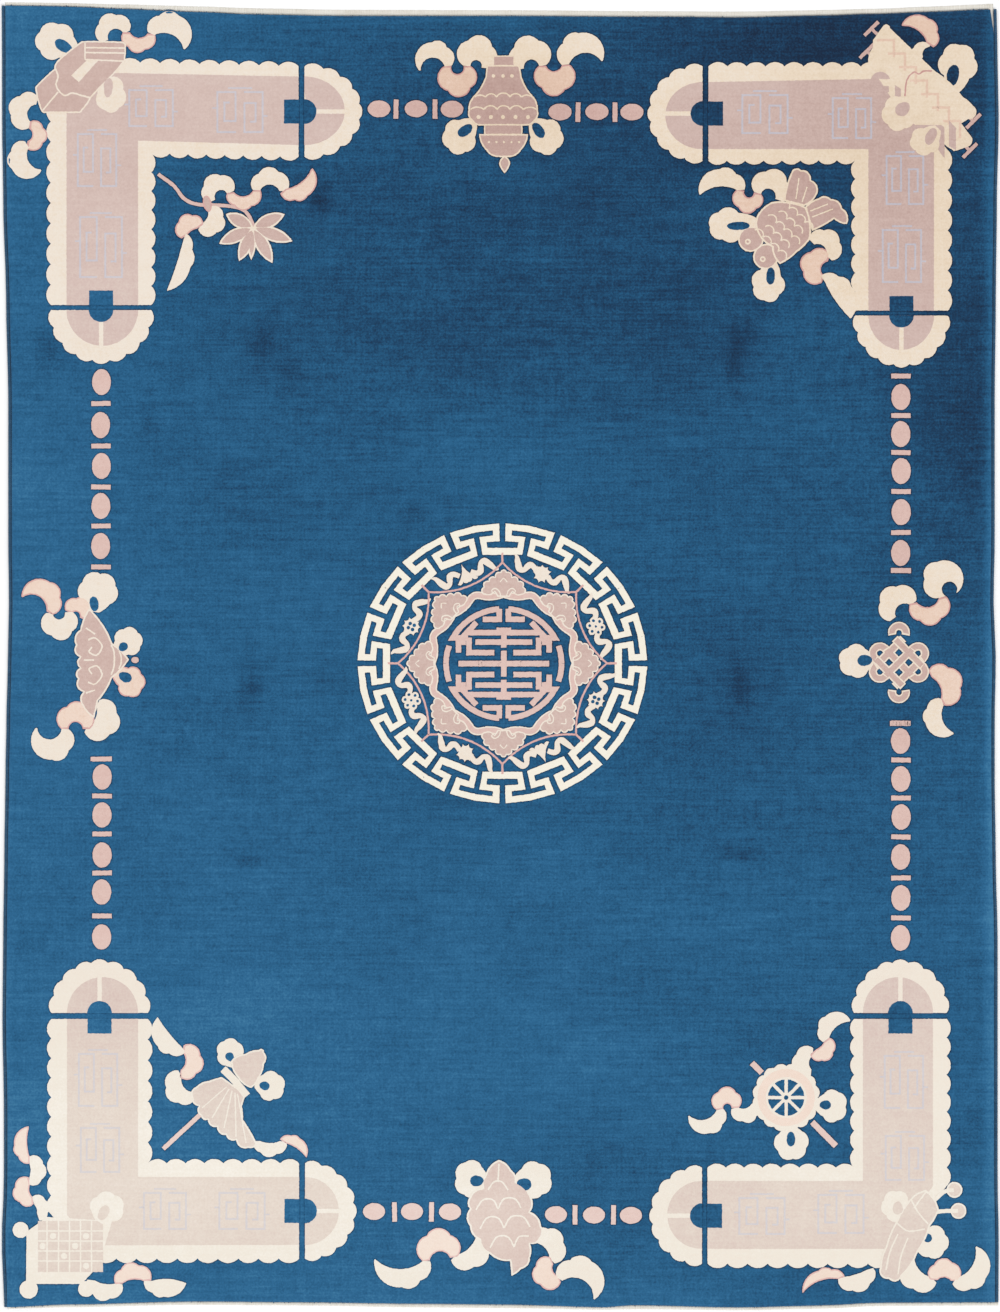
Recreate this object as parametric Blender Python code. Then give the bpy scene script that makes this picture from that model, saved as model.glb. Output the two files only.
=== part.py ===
"""A room-sized Chinese carpet lying flat on the floor.

The body is one cloth: a thick wool pile that ends in a thin strip of woven cotton at the top and at the
bottom. A round cord, wrapped in wool, runs down each long side.

Metres, +Z up. The origin is on the floor under the middle of the carpet. +X is to the right of the design
and +Y is towards its top end.
"""

import math

import bmesh
import bpy

MM = 0.001

# Driving sizes
RUG_WIDTH = 2.741
RUG_LENGTH = 3.598
PILE_TOP = 13.0 * MM
WEB_TOP = 3.0 * MM
CORD_WIDTH = 9.0 * MM
CORD_HEIGHT = 10.0 * MM
CORD_SIDES = 12
GAP = 0.3 * MM
SHARP_ANGLE = math.radians(40)

# Cells of the pile's surface
CELLS_ACROSS = 38
CELLS_ALONG = 50

# How the pile rounds over at its rim. Columns: distance in from the rim, height, both in mm
RIM_ROUNDING = (
    (0.0, 8.0),
    (1.2, 10.6),
    (3.6, 12.3),
    (9.0, 13.0),
)

# How sharply the unevenness of the surface dies away where the rim rounds over
RIM_STILLNESS = 4

# Bends of the long sides. Columns: distance down from the top end, then how far the left and the right
# side lie inside the full width, all in mm
SIDE_BENDS = (
    (0, 0, 6),
    (161, 1, 3),
    (326, 1, 0),
    (545, 4, 5),
    (820, 12, 8),
    (1095, 18, 11),
    (1479, 18, 11),
    (1645, 20, 14),
    (1809, 17, 8),
    (1974, 13, 11),
    (2139, 10, 11),
    (2359, 7, 8),
    (2578, 4, 3),
    (2798, 2, 3),
    (3046, 6, 3),
    (3238, 6, 3),
    (3403, 0, 0),
    (3598, 7, 1),
)

# Bends of the two ends. Columns: distance from the left side, then how far the pile and the cotton web
# stop short of the full length, all in mm
TOP_BENDS = (
    (0, 10, 0),
    (161, 12, 2),
    (326, 19, 6),
    (518, 27, 11),
    (710, 35, 17),
    (930, 39, 21),
    (1370, 39, 22),
    (1809, 41, 25),
    (2029, 43, 26),
    (2249, 38, 22),
    (2413, 33, 18),
    (2578, 27, 11),
    (2741, 20, 4),
)
BOTTOM_BENDS = (
    (0, 9, 3),
    (161, 17, 8),
    (518, 25, 15),
    (820, 23, 13),
    (1150, 19, 8),
    (1370, 17, 6),
    (1677, 9, 1),
    (1732, 15, 3),
    (2029, 9, 0),
    (2249, 14, 4),
    (2413, 22, 12),
    (2741, 23, 13),
)

# Soft creases left by rolling and folding. Columns: x and y of the middle in mm, half length, half width
# and height in mm, and the way it runs in degrees from +X. A negative height is a trough
CREASES = (
    (-600, 830, 330, 60, -1.6, 62),
    (-520, 690, 210, 45, 1.1, 48),
    (640, 850, 330, 60, -1.6, 118),
    (720, 700, 230, 45, 1.1, 130),
    (-690, -80, 260, 70, -1.4, 84),
    (660, -75, 280, 70, -1.4, 96),
    (-670, -560, 300, 65, 1.3, 30),
    (660, -550, 300, 65, 1.3, 150),
    (-250, 400, 260, 80, -1.2, 20),
    (930, 560, 240, 75, 1.2, 75),
    (-1130, 200, 420, 80, 1.0, 88),
    (1150, 760, 380, 80, -1.3, 94),
)

# Slow unevenness of the whole surface. Columns: waves per metre across and along, turn in radians, height
# in mm
RIPPLES = (
    (0.9, 0.35, 0.4, 0.45),
    (-0.5, 1.10, 2.1, 0.40),
    (1.7, -0.80, 4.0, 0.25),
    (0.2, 2.30, 5.2, 0.20),
)

PILE_BLUE = (0.032, 0.118, 0.228, 1.0)
CORD_BLUE = (0.024, 0.095, 0.190, 1.0)
WOOL_ROUGHNESS = 0.95


def clear_scene():
    for obj in list(bpy.data.objects):
        bpy.data.objects.remove(obj, do_unlink=True)


def wool(name, colour):
    material = bpy.data.materials.new(name)
    material.use_nodes = True
    surface = material.node_tree.nodes["Principled BSDF"]
    surface.inputs["Base Color"].default_value = colour
    surface.inputs["Roughness"].default_value = WOOL_ROUGHNESS
    surface.inputs["Metallic"].default_value = 0.0
    material.diffuse_color = colour
    return material


def bend_of(rows, column, distance_mm):
    """A bend table's column at a distance in mm, eased from one row to the next, in metres."""
    for before, after in zip(rows, rows[1:]):
        if distance_mm <= after[0]:
            share = max(0.0, (distance_mm - before[0]) / (after[0] - before[0]))
            eased = share * share * (3 - 2 * share)
            return (before[column] + (after[column] - before[column]) * eased) * MM
    return rows[-1][column] * MM


def left_side(y):
    return -RUG_WIDTH / 2 + bend_of(SIDE_BENDS, 1, (RUG_LENGTH / 2 - y) / MM)


def right_side(y):
    return RUG_WIDTH / 2 - bend_of(SIDE_BENDS, 2, (RUG_LENGTH / 2 - y) / MM)


def end_lines(across):
    """The y of the top web, top pile, bottom pile and bottom web at a share of the width from the left."""
    distance_mm = across * RUG_WIDTH / MM
    top = RUG_LENGTH / 2
    bottom = -RUG_LENGTH / 2
    return (
        top - bend_of(TOP_BENDS, 2, distance_mm),
        top - bend_of(TOP_BENDS, 1, distance_mm),
        bottom + bend_of(BOTTOM_BENDS, 1, distance_mm),
        bottom + bend_of(BOTTOM_BENDS, 2, distance_mm),
    )


def rim_height(distance):
    """The pile's height at a distance in from its rim."""
    distance_mm = distance / MM
    for (near, low), (far, high) in zip(RIM_ROUNDING, RIM_ROUNDING[1:]):
        if distance_mm <= far:
            return (low + (high - low) * max(0.0, distance_mm - near) / (far - near)) * MM
    return PILE_TOP


def unevenness(x, y):
    """How far the pile's surface rises or falls from level."""
    height = 0.0
    for across, along, turn, rise in RIPPLES:
        height += rise * math.sin(2 * math.pi * (across * x + along * y) + turn)
    for middle_x, middle_y, half_length, half_width, rise, angle in CREASES:
        way = math.radians(angle)
        from_x = x / MM - middle_x
        from_y = y / MM - middle_y
        along = (from_x * math.cos(way) + from_y * math.sin(way)) / half_length
        aside = (from_y * math.cos(way) - from_x * math.sin(way)) / half_width
        height += rise * math.exp(-along * along - aside * aside)
    return height * MM


def shares_with_rim(cells, length):
    """Shares of a length, closer together at both rims, where the pile rounds over."""
    rim = [near * MM / length for near, _ in RIM_ROUNDING]
    inner = rim[-1]
    even = [inner + (1 - 2 * inner) * step / cells for step in range(cells + 1)]
    return rim[:-1] + even + [1 - share for share in reversed(rim[:-1])]


def body_grid():
    """Rows of points of the body's upper side, from the top web to the bottom web."""
    across_shares = shares_with_rim(CELLS_ACROSS, RUG_WIDTH)
    along_shares = shares_with_rim(CELLS_ALONG, RUG_LENGTH)
    setback = CORD_WIDTH + GAP
    ends = [end_lines(across) for across in across_shares]

    def web_row(which, step_in):
        row = []
        for across, lines in zip(across_shares, ends):
            y = lines[which] + step_in
            left = left_side(y)
            row.append((left + (right_side(y) - left) * across, y, WEB_TOP))
        return row

    def pile_row(along, height=None):
        row = []
        for across, (_, top, bottom, _) in zip(across_shares, ends):
            y = top + (bottom - top) * along
            left = left_side(y) + setback
            right = right_side(y) - setback
            x = left + (right - left) * across
            from_end = min(along, 1 - along) * (top - bottom)
            from_side = min(across, 1 - across) * (right - left)
            z = min(rim_height(from_end), rim_height(from_side))
            freedom = (z / PILE_TOP) ** RIM_STILLNESS
            row.append((x, y, height or z + unevenness(x, y) * freedom))
        return row

    rows = [web_row(0, 0.0), web_row(1, GAP)]
    rows.append(pile_row(0.0, WEB_TOP))
    rows += [pile_row(along) for along in along_shares[1:-1]]
    rows.append(pile_row(1.0, WEB_TOP))
    rows += [web_row(2, -GAP), web_row(3, 0.0)]
    return rows


def rim_of(rows):
    """Row and column of each border point, once round the grid."""
    last_row = len(rows) - 1
    last_column = len(rows[0]) - 1
    top = [(0, column) for column in range(last_column)]
    right = [(row, last_column) for row in range(last_row)]
    bottom = [(last_row, column) for column in range(last_column, 0, -1)]
    left = [(row, 0) for row in range(last_row, 0, -1)]
    return top + right + bottom + left


def finish_object(name, mesh, material):
    mesh.normal_update()
    data = bpy.data.meshes.new(name)
    mesh.to_mesh(data)
    mesh.free()
    data.materials.append(material)
    data.shade_smooth()
    data.set_sharp_from_angle(angle=SHARP_ANGLE)
    obj = bpy.data.objects.new(name, data)
    bpy.context.scene.collection.objects.link(obj)
    return obj


def make_body(material):
    """Pile and both cotton ends as one solid, flat underneath."""
    rows = body_grid()
    mesh = bmesh.new()
    upper = [[mesh.verts.new(point) for point in row] for row in rows]
    for row, below in zip(upper, upper[1:]):
        for column in range(len(row) - 1):
            mesh.faces.new((row[column], below[column], below[column + 1], row[column + 1]))
    rim = rim_of(rows)
    lower = [mesh.verts.new((rows[row][column][0], rows[row][column][1], 0.0)) for row, column in rim]
    for step, (row, column) in enumerate(rim):
        next_row, next_column = rim[(step + 1) % len(rim)]
        next_lower = lower[(step + 1) % len(rim)]
        mesh.faces.new((upper[row][column], upper[next_row][next_column], next_lower, lower[step]))
    mesh.faces.new(lower)
    return finish_object("rug_body", mesh, material)


def cord_section():
    """Points round a cord, across and up from the corner of its box, with a flat underside."""
    turn = 2 * math.pi / CORD_SIDES
    widest = math.cos(turn / 2)
    points = []
    for step in range(CORD_SIDES):
        angle = turn * (step + 0.5)
        across = (1 + math.cos(angle) / widest) / 2
        up = (1 + math.sin(angle) / widest) / 2
        points.append((across * CORD_WIDTH, up * CORD_HEIGHT))
    return points


def make_cord(name, side_at, inward, across, material):
    """The wrapped cord along one long side. inward is +1 on the left side and -1 on the right side."""
    _, top, bottom, _ = end_lines(across)
    shares = shares_with_rim(CELLS_ALONG, RUG_LENGTH)[1:-1]
    stations = [top - 2 * GAP] + [top + (bottom - top) * share for share in shares] + [bottom + 2 * GAP]
    mesh = bmesh.new()
    rings = []
    for y in stations:
        outer = side_at(y)
        rings.append([mesh.verts.new((outer + inward * aside, y, up)) for aside, up in cord_section()])
    for ring, after in zip(rings, rings[1:]):
        for step in range(CORD_SIDES):
            following = (step + 1) % CORD_SIDES
            mesh.faces.new((ring[step], ring[following], after[following], after[step]))
    mesh.faces.new(rings[0])
    mesh.faces.new(rings[-1])
    bmesh.ops.recalc_face_normals(mesh, faces=mesh.faces)
    return finish_object(name, mesh, material)


def main():
    clear_scene()
    make_body(wool("pile_wool", PILE_BLUE))
    cord_wool = wool("cord_wool", CORD_BLUE)
    make_cord("left_edge_cord", left_side, 1, 0.0, cord_wool)
    make_cord("right_edge_cord", right_side, -1, 1.0, cord_wool)


main()
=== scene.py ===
"""Looks of a room-sized Chinese carpet: indigo field, scalloped corner brackets, fret medallion and emblems.

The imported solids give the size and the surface. The design is laid out on a chart with one square for each
2.75 mm of carpet. Chart x runs to the right, chart y runs down, and every figure is drawn from arcs, curves
and strokes on it. Each yarn colour is one mesh of thin patches that follow the pile's surface, so that every
colour boundary is a real edge of cut pile.
"""

import math
import random

import bpy
import numpy as np
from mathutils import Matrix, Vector
from mathutils.bvhtree import BVHTree
from mathutils.geometry import delaunay_2d_cdt


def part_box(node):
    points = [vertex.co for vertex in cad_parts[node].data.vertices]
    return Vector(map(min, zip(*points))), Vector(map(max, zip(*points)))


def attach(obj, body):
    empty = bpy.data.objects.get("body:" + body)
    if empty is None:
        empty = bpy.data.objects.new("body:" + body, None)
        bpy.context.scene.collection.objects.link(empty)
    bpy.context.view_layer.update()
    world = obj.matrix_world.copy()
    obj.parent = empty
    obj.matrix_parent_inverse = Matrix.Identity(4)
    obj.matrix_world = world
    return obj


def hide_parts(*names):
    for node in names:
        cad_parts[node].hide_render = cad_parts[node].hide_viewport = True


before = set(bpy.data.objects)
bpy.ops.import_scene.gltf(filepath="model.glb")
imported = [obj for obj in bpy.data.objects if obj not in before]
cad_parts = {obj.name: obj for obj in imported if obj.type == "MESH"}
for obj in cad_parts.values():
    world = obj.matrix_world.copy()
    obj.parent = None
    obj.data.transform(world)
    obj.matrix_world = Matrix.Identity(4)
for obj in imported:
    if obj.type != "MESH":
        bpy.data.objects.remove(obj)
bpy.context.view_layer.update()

MM = 0.001

LOW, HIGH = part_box("rug_body")
RUG_WIDTH = HIGH.x - LOW.x
RUG_LENGTH = HIGH.y - LOW.y

# The chart
CHART_ACROSS = 997.5
SQUARE = RUG_WIDTH / CHART_ACROSS
CHART_MIDDLE_X = 500.25
CHART_MIDDLE_Y = 656.25
PHOTO_SQUARES_ACROSS = 1000
PHOTO_SQUARES_DOWN = 1312

# Mesh sizes
GROUND_CELL = 14 * MM
PATCH_CELL = 18 * MM
STITCH = 1.5
WOBBLE = 0.32 * MM
BASE_LIFT = 0.30 * MM
LAYER_LIFT = 0.13 * MM
PATCH_LIFT = 0.002 * MM
PATCH_CYCLE = 60
SKIRT = 1.2 * MM
CARVED_WIDTH = 1.7
CARVED_LIFT = 0.14 * MM
CARVED_FOOT = 0.05 * MM
UNDERSIDE = 0.6 * MM
UNDER_LAYER_STEP = 0.05 * MM
UNDER_PATCH_STEP = 0.0005 * MM
POINTS_APART = 0.6 * MM
GRID_CLEARANCE = 6 * MM

# How the pile falls away at its rim. Columns: distance in from the rim, drop, both in mm
RIM_DROP = (
    (0.0, 5.0),
    (1.2, 2.4),
    (3.6, 0.8),
    (9.0, 0.0),
)

rng = random.Random(7)


# The pile's surface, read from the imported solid

def tree_of(node):
    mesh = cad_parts[node].data
    points = [vertex.co.copy() for vertex in mesh.vertices]
    faces = [tuple(polygon.vertices) for polygon in mesh.polygons]
    return BVHTree.FromPolygons(points, faces)


RAY_START = 3.0


def rim_line(tree, stations, height, way):
    """Where a level ray from outside first meets the solid, at each station along a side."""
    found = []
    for station in stations:
        if way in ("left", "right"):
            sign = -1 if way == "left" else 1
            start = Vector((sign * RAY_START, station, height))
            hit = tree.ray_cast(start, Vector((-sign, 0, 0)))[0]
            found.append(hit.x if hit else None)
        else:
            sign = 1 if way == "top" else -1
            start = Vector((station, sign * RAY_START, height))
            hit = tree.ray_cast(start, Vector((0, -sign, 0)))[0]
            found.append(hit.y if hit else None)
    known = [(s, f) for s, f in zip(stations, found) if f is not None]
    return np.interp(stations, [s for s, _ in known], [f for _, f in known])


BODY_TREE = tree_of("rug_body")
PILE_LEVEL = 6 * MM
WEB_LEVEL = 1.5 * MM
END_CLEARANCE = 0.05
SIDE_CLEARANCE = 0.012
STATIONS_ALONG = 260
STATIONS_ACROSS = 200
ALONG = np.linspace(LOW.y + END_CLEARANCE, HIGH.y - END_CLEARANCE, STATIONS_ALONG)
ACROSS = np.linspace(LOW.x + SIDE_CLEARANCE, HIGH.x - SIDE_CLEARANCE, STATIONS_ACROSS)
LEFT_RIM = rim_line(BODY_TREE, ALONG, PILE_LEVEL, "left")
RIGHT_RIM = rim_line(BODY_TREE, ALONG, PILE_LEVEL, "right")
TOP_RIM = rim_line(BODY_TREE, ACROSS, PILE_LEVEL, "top")
BOTTOM_RIM = rim_line(BODY_TREE, ACROSS, PILE_LEVEL, "bottom")
TOP_WEB = rim_line(BODY_TREE, ACROSS, WEB_LEVEL, "top")
BOTTOM_WEB = rim_line(BODY_TREE, ACROSS, WEB_LEVEL, "bottom")


def left_rim(y):
    return np.interp(y, ALONG, LEFT_RIM)


def right_rim(y):
    return np.interp(y, ALONG, RIGHT_RIM)


def top_rim(x):
    return np.interp(x, ACROSS, TOP_RIM)


def bottom_rim(x):
    return np.interp(x, ACROSS, BOTTOM_RIM)


def blurred(field, times):
    for _ in range(times):
        padded = np.pad(field, 1, mode="edge")
        field = sum(
            padded[1 + j:padded.shape[0] - 1 + j, 1 + i:padded.shape[1] - 1 + i]
            for j in (-1, 0, 1) for i in (-1, 0, 1)
        ) / 9
    return field


FIELD_ROW_CLEARANCE = 0.13
FIELD_CLEARANCE = 12 * MM
FIELD_BLUR = 9


def height_field():
    """The solid's upper surface on an even grid, smoothed so that its facets don't show."""
    xs = np.arange(LOW.x, HIGH.x + GROUND_CELL, GROUND_CELL)
    ys = np.arange(LOW.y, HIGH.y + GROUND_CELL, GROUND_CELL)
    field = np.zeros((len(ys), len(xs)))
    down = Vector((0, 0, -1))
    for j, y in enumerate(ys):
        row_y = min(max(y, LOW.y + FIELD_ROW_CLEARANCE), HIGH.y - FIELD_ROW_CLEARANCE)
        left = float(left_rim(row_y)) + FIELD_CLEARANCE
        right = float(right_rim(row_y)) - FIELD_CLEARANCE
        for i, x in enumerate(xs):
            at_x = min(max(x, left), right)
            lowest = float(bottom_rim(at_x)) + FIELD_CLEARANCE
            highest = float(top_rim(at_x)) - FIELD_CLEARANCE
            at_y = min(max(y, lowest), highest)
            hit = BODY_TREE.ray_cast(Vector((at_x, at_y, 1.0)), down)[0]
            field[j, i] = hit.z
    return xs, ys, blurred(field, FIELD_BLUR)


FIELD_X, FIELD_Y, FIELD = height_field()


def smooth_height(x, y):
    """The field at any points, between the grid's heights."""
    i = np.clip((x - FIELD_X[0]) / GROUND_CELL, 0, len(FIELD_X) - 1.001)
    j = np.clip((y - FIELD_Y[0]) / GROUND_CELL, 0, len(FIELD_Y) - 1.001)
    i0 = i.astype(int)
    j0 = j.astype(int)
    u = i - i0
    v = j - j0
    return (
        FIELD[j0, i0] * (1 - u) * (1 - v) + FIELD[j0, i0 + 1] * u * (1 - v)
        + FIELD[j0 + 1, i0] * (1 - u) * v + FIELD[j0 + 1, i0 + 1] * u * v
    )


def surface(x, y):
    """Height of the cut pile at points, falling away at the rim."""
    x = np.asarray(x, float)
    y = np.asarray(y, float)
    from_rim = np.minimum.reduce((x - left_rim(y), right_rim(y) - x, top_rim(x) - y, y - bottom_rim(x)))
    near = [row[0] * MM for row in RIM_DROP]
    drop = [row[1] * MM for row in RIM_DROP]
    return smooth_height(x, y) - np.interp(from_rim, near, drop)


# Drawing on the chart. A path is a list of (x, y, bulge): bulge is the rise of the arc to the next point as a
# share of the distance to it. It is positive to the left of the way that the path runs, which is outward on a
# path that runs clockwise on the carpet

BEND_LIMIT = 0.35
INSET_CLEARANCE = 0.86


def arc(start, end, bulge):
    """Points from start up to but not including end."""
    a = complex(start[0], start[1])
    b = complex(end[0], end[1])
    chord = b - a
    if abs(chord) < 1e-6:
        return []
    half = 2 * math.atan(2 * abs(bulge))
    if half < 0.03:
        steps = max(1, round(abs(chord) / STITCH))
        return [((a + chord * k / steps).real, (a + chord * k / steps).imag) for k in range(steps)]
    radius = abs(chord) / (2 * math.sin(half))
    steps = max(2, round(2 * half * radius / STITCH))
    ahead = chord / abs(chord)
    aside = -1j * ahead * math.copysign(1, bulge)
    centre = (a + b) / 2 + aside * (radius * (1 - math.cos(half)) - radius)
    points = []
    for k in range(steps):
        turn = -half + 2 * half * k / steps
        point = centre + radius * (aside * math.cos(turn) + ahead * math.sin(turn))
        points.append((point.real, point.imag))
    return points


def outline(path):
    """A closed outline through a path's points."""
    points = []
    for here, there in zip(path, path[1:] + path[:1]):
        points += arc(here, there, here[2] if len(here) > 2 else 0.0)
    return points


def ellipse(x, y, across, down, turn=0.0):
    steps = max(8, round(math.pi * (across + down) / STITCH))
    way = math.radians(turn)
    points = []
    for k in range(steps):
        angle = 2 * math.pi * k / steps
        u = across * math.cos(angle)
        v = down * math.sin(angle)
        points.append((x + u * math.cos(way) - v * math.sin(way), y + u * math.sin(way) + v * math.cos(way)))
    return points


def curve(points, closed=False):
    """A smooth line through points."""
    n = len(points)
    made = []
    for k in range(n if closed else n - 1):
        if closed:
            p0, p1, p2, p3 = (points[(k + d) % n] for d in (-1, 0, 1, 2))
        else:
            p1, p2 = points[k], points[k + 1]
            p0 = points[k - 1] if k else p1
            p3 = points[k + 2] if k + 2 < n else p2
        steps = max(1, round(math.dist(p1[:2], p2[:2]) / STITCH))
        for step in range(steps):
            t = step / steps
            made.append(tuple(
                0.5 * (2 * b + (c - a) * t + (2 * a - 5 * b + 4 * c - d) * t * t
                       + (3 * b - a - 3 * c + d) * t ** 3)
                for a, b, c, d in zip(p0, p1, p2, p3)
            ))
    if not closed:
        made.append(tuple(points[-1]))
    return made


def sides_of(line, widths):
    """The points on both sides of a line, at half its width."""
    left = []
    right = []
    for k, point in enumerate(line):
        before = line[max(k - 1, 0)]
        after = line[min(k + 1, len(line) - 1)]
        dx = after[0] - before[0]
        dy = after[1] - before[1]
        length = math.hypot(dx, dy) or 1.0
        half = widths[k] / 2
        left.append((point[0] + dy / length * half, point[1] - dx / length * half))
        right.append((point[0] - dy / length * half, point[1] + dx / length * half))
    return left, right


def stroke(points, width, smooth=True):
    """A line of yarn. A point may have its own width as a third number."""
    if smooth:
        line = curve(points)
    else:
        line = []
        for a, b in zip(points, points[1:]):
            line += arc(a, b, 0.0)
        line.append(points[-1])
    widths = [p[2] if len(p) > 2 else width for p in line]
    left, right = sides_of(line, widths)
    return left + right[::-1]


def bent(points, width):
    """A stroke with square corners."""
    left = []
    right = []
    last = len(points) - 1
    for k, (x, y) in enumerate(points):
        ways = []
        if k > 0:
            ways.append(complex(x - points[k - 1][0], y - points[k - 1][1]))
        if k < last:
            ways.append(complex(points[k + 1][0] - x, points[k + 1][1] - y))
        ways = [way / abs(way) for way in ways]
        if len(ways) == 1:
            offset = -1j * ways[0]
        else:
            normal = -1j * (ways[0] + ways[1])
            normal /= abs(normal)
            offset = normal / max(BEND_LIMIT, (normal * (-1j * ways[0]).conjugate()).real)
        offset *= width / 2
        left.append((x + offset.real, y + offset.imag, 0))
        right.append((x - offset.real, y - offset.imag, 0))
    return outline(left + right[::-1])


def inset(points, depth):
    """The outline moved inward. Points that would lie too near its own edge are left out."""
    ring = np.array([p[:2] for p in points])
    after = np.roll(ring, -1, axis=0)
    area = np.sum(ring[:, 0] * after[:, 1] - after[:, 0] * ring[:, 1])
    ahead = after - np.roll(ring, 1, axis=0)
    ahead /= np.maximum(np.linalg.norm(ahead, axis=1, keepdims=True), 1e-9)
    inward = np.stack((-ahead[:, 1], ahead[:, 0]), axis=1) * math.copysign(1, area)
    moved = ring + inward * depth
    apart = np.linalg.norm(moved[:, None, :] - ring[None, :, :], axis=2).min(axis=1)
    return [tuple(p) for p in moved[apart > depth * INSET_CLEARANCE]]


# What is drawn: each patch is (yarn, layer, outline, and whether a ring of painted shade goes round it where
# the pile is cut down)
patches = []


def lay(yarn, layer, points, painted_shade=False):
    if len(points) >= 3:
        patches.append((yarn, layer, points, painted_shade))


def lay_edged(yarn, edge_yarn, layer, points, edge):
    """A figure with a thin outline of another yarn."""
    lay(edge_yarn, layer, points, painted_shade=True)
    lay(yarn, layer + 1, inset(points, edge))


LOBE = 0.13
SHORT_LOBE = 0.45
LONG_LOBE_SHARE = 0.3
PINK_EDGE = 1.3
CREAM_EDGE = 1.7


def lobed_arc(start, end, rise, shares):
    """A round arc broken into cloud lobes at shares of its length. rise is signed, as a bulge is."""
    chord = math.dist(start, end)
    bulge = rise / max(chord, 1e-6)
    half = 2 * math.atan(2 * abs(bulge))
    base = arc(start, end, bulge) + [end]
    cusps = [start]
    for share in shares:
        cusps.append(base[min(len(base) - 2, max(1, round(share * (len(base) - 1))))])
    cusps.append(end)
    points = []
    spans = np.diff([0.0, *shares, 1.0])
    for here, there, span in zip(cusps, cusps[1:], spans):
        part = half * span
        own = math.tan(part / 2) / 2
        more = LOBE if span < SHORT_LOBE else LOBE * LONG_LOBE_SHARE
        points += arc(here, there, math.copysign(own + more, rise))
    return points


def fold(yarn, layer, start, end, outer, inner, shares):
    """One fold of a ribbon. start and end are (x, y, width of the neck); the rises are signed."""
    a = complex(start[0], start[1])
    b = complex(end[0], end[1])
    ahead = (b - a) / abs(b - a)
    outer_start = a - ahead * start[2] / 2
    outer_end = b + ahead * end[2] / 2
    inner_start = a + ahead * start[2] / 2
    inner_end = b - ahead * end[2] / 2

    def pair(z):
        return (z.real, z.imag)

    inner_chord = abs(inner_end - inner_start)
    points = lobed_arc(pair(outer_start), pair(outer_end), outer, shares)
    points += [pair(outer_end)]
    points += arc(pair(inner_end), pair(inner_start), -inner / max(inner_chord, 1e-6))
    points += [pair(inner_start)]
    if yarn == "peach":
        lay_edged("peach", "pink", layer, points, PINK_EDGE)
    else:
        lay(yarn, layer, points, painted_shade=True)


THREE_LOBES = (0.30, 0.64)
TAIL_LOBES = (0.26, 0.50)
NECK = 7.0
TIP = 1.4
RIBBON_LAYER = 1


def ribbon(first_yarn, root, folds):
    """A fluttering ribbon: folds of cream and peach by turns, the last one a pointed tail.

    folds has rows of x, y, outer rise and inner rise."""
    yarns = ("cream", "peach") if first_yarn == "cream" else ("peach", "cream")
    start = (root[0], root[1], NECK)
    for k, (x, y, outer, inner) in enumerate(folds):
        last = k == len(folds) - 1
        end = (x, y, TIP if last else NECK)
        shares = TAIL_LOBES if last else THREE_LOBES
        fold(yarns[k % 2], RIBBON_LAYER, start, end, outer, inner, shares)
        start = (x, y, NECK)


# A bow's lobes: their number, the angle from the knot to the first of their cusps and on round to the last,
# how far out the cusps lie, the half width at the knot, and the bulges beside the knot and of the lobes
BOW_LOBES = 4
BOW_FIRST_CUSP = 48
BOW_SPREAD = 264
BOW_CUSPS_OUT = 0.93
BOW_ROOT_HALF = 4.0
BOW_ROOT_BULGE = 0.06
BOW_BULGE = 0.27
DROP_REACH = 0.28


def bow(root, middle, across, down, hole, yarn="cream", hole_yarn="blue", layer=2):
    """A loop of ribbon with cloud lobes, tied at its root. hole is (x, y, across, down, turn)."""
    towards = math.degrees(math.atan2((root[1] - middle[1]) / down, (root[0] - middle[0]) / across))
    turns = [towards + BOW_FIRST_CUSP + (BOW_SPREAD / BOW_LOBES) * k for k in range(BOW_LOBES + 1)]
    cusps = []
    for turn in turns:
        angle = math.radians(turn)
        cusps.append((
            middle[0] + BOW_CUSPS_OUT * across * math.cos(angle),
            middle[1] + BOW_CUSPS_OUT * down * math.sin(angle),
        ))
    away = math.atan2(root[1] - middle[1], root[0] - middle[0])
    side = (-math.sin(away) * BOW_ROOT_HALF, math.cos(away) * BOW_ROOT_HALF)
    path = [(root[0] + side[0], root[1] + side[1], BOW_ROOT_BULGE)]
    path += [(x, y, BOW_BULGE) for x, y in cusps[:-1]]
    path += [(*cusps[-1], BOW_ROOT_BULGE), (root[0] - side[0], root[1] - side[1], 0.0)]
    points = outline(path)
    if yarn == "peach":
        lay_edged("peach", "pink", layer, points, PINK_EDGE)
    else:
        lay(yarn, layer, points, painted_shade=hole_yarn == "blue")
    lay(hole_yarn, layer + 2, teardrop(*hole, root))


def teardrop(x, y, across, down, turn, root):
    """A rounded hole, drawn out a little towards the knot."""
    points = []
    away = math.atan2(root[1] - y, root[0] - x)
    for px, py in ellipse(x, y, across, down, turn):
        lean = math.cos(math.atan2(py - y, px - x) - away)
        reach = 1 + DROP_REACH * max(0.0, lean) ** 4
        points.append((x + (px - x) * reach, y + (py - y) * reach))
    return points


def petal(base, tip, width):
    bulge = width / 2 / math.dist(base, tip)
    points = outline([(*base, bulge), (*tip, bulge)])
    lay_edged("clay", "cream", 2, points, CREAM_EDGE)


def scallops(start, end, pitch, bulge):
    """A path of equal arcs from start up to but not including end."""
    count = max(1, round(math.dist(start, end) / pitch))
    path = []
    for k in range(count):
        share = k / count
        path.append((start[0] + (end[0] - start[0]) * share, start[1] + (end[1] - start[1]) * share, bulge))
    return path


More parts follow.
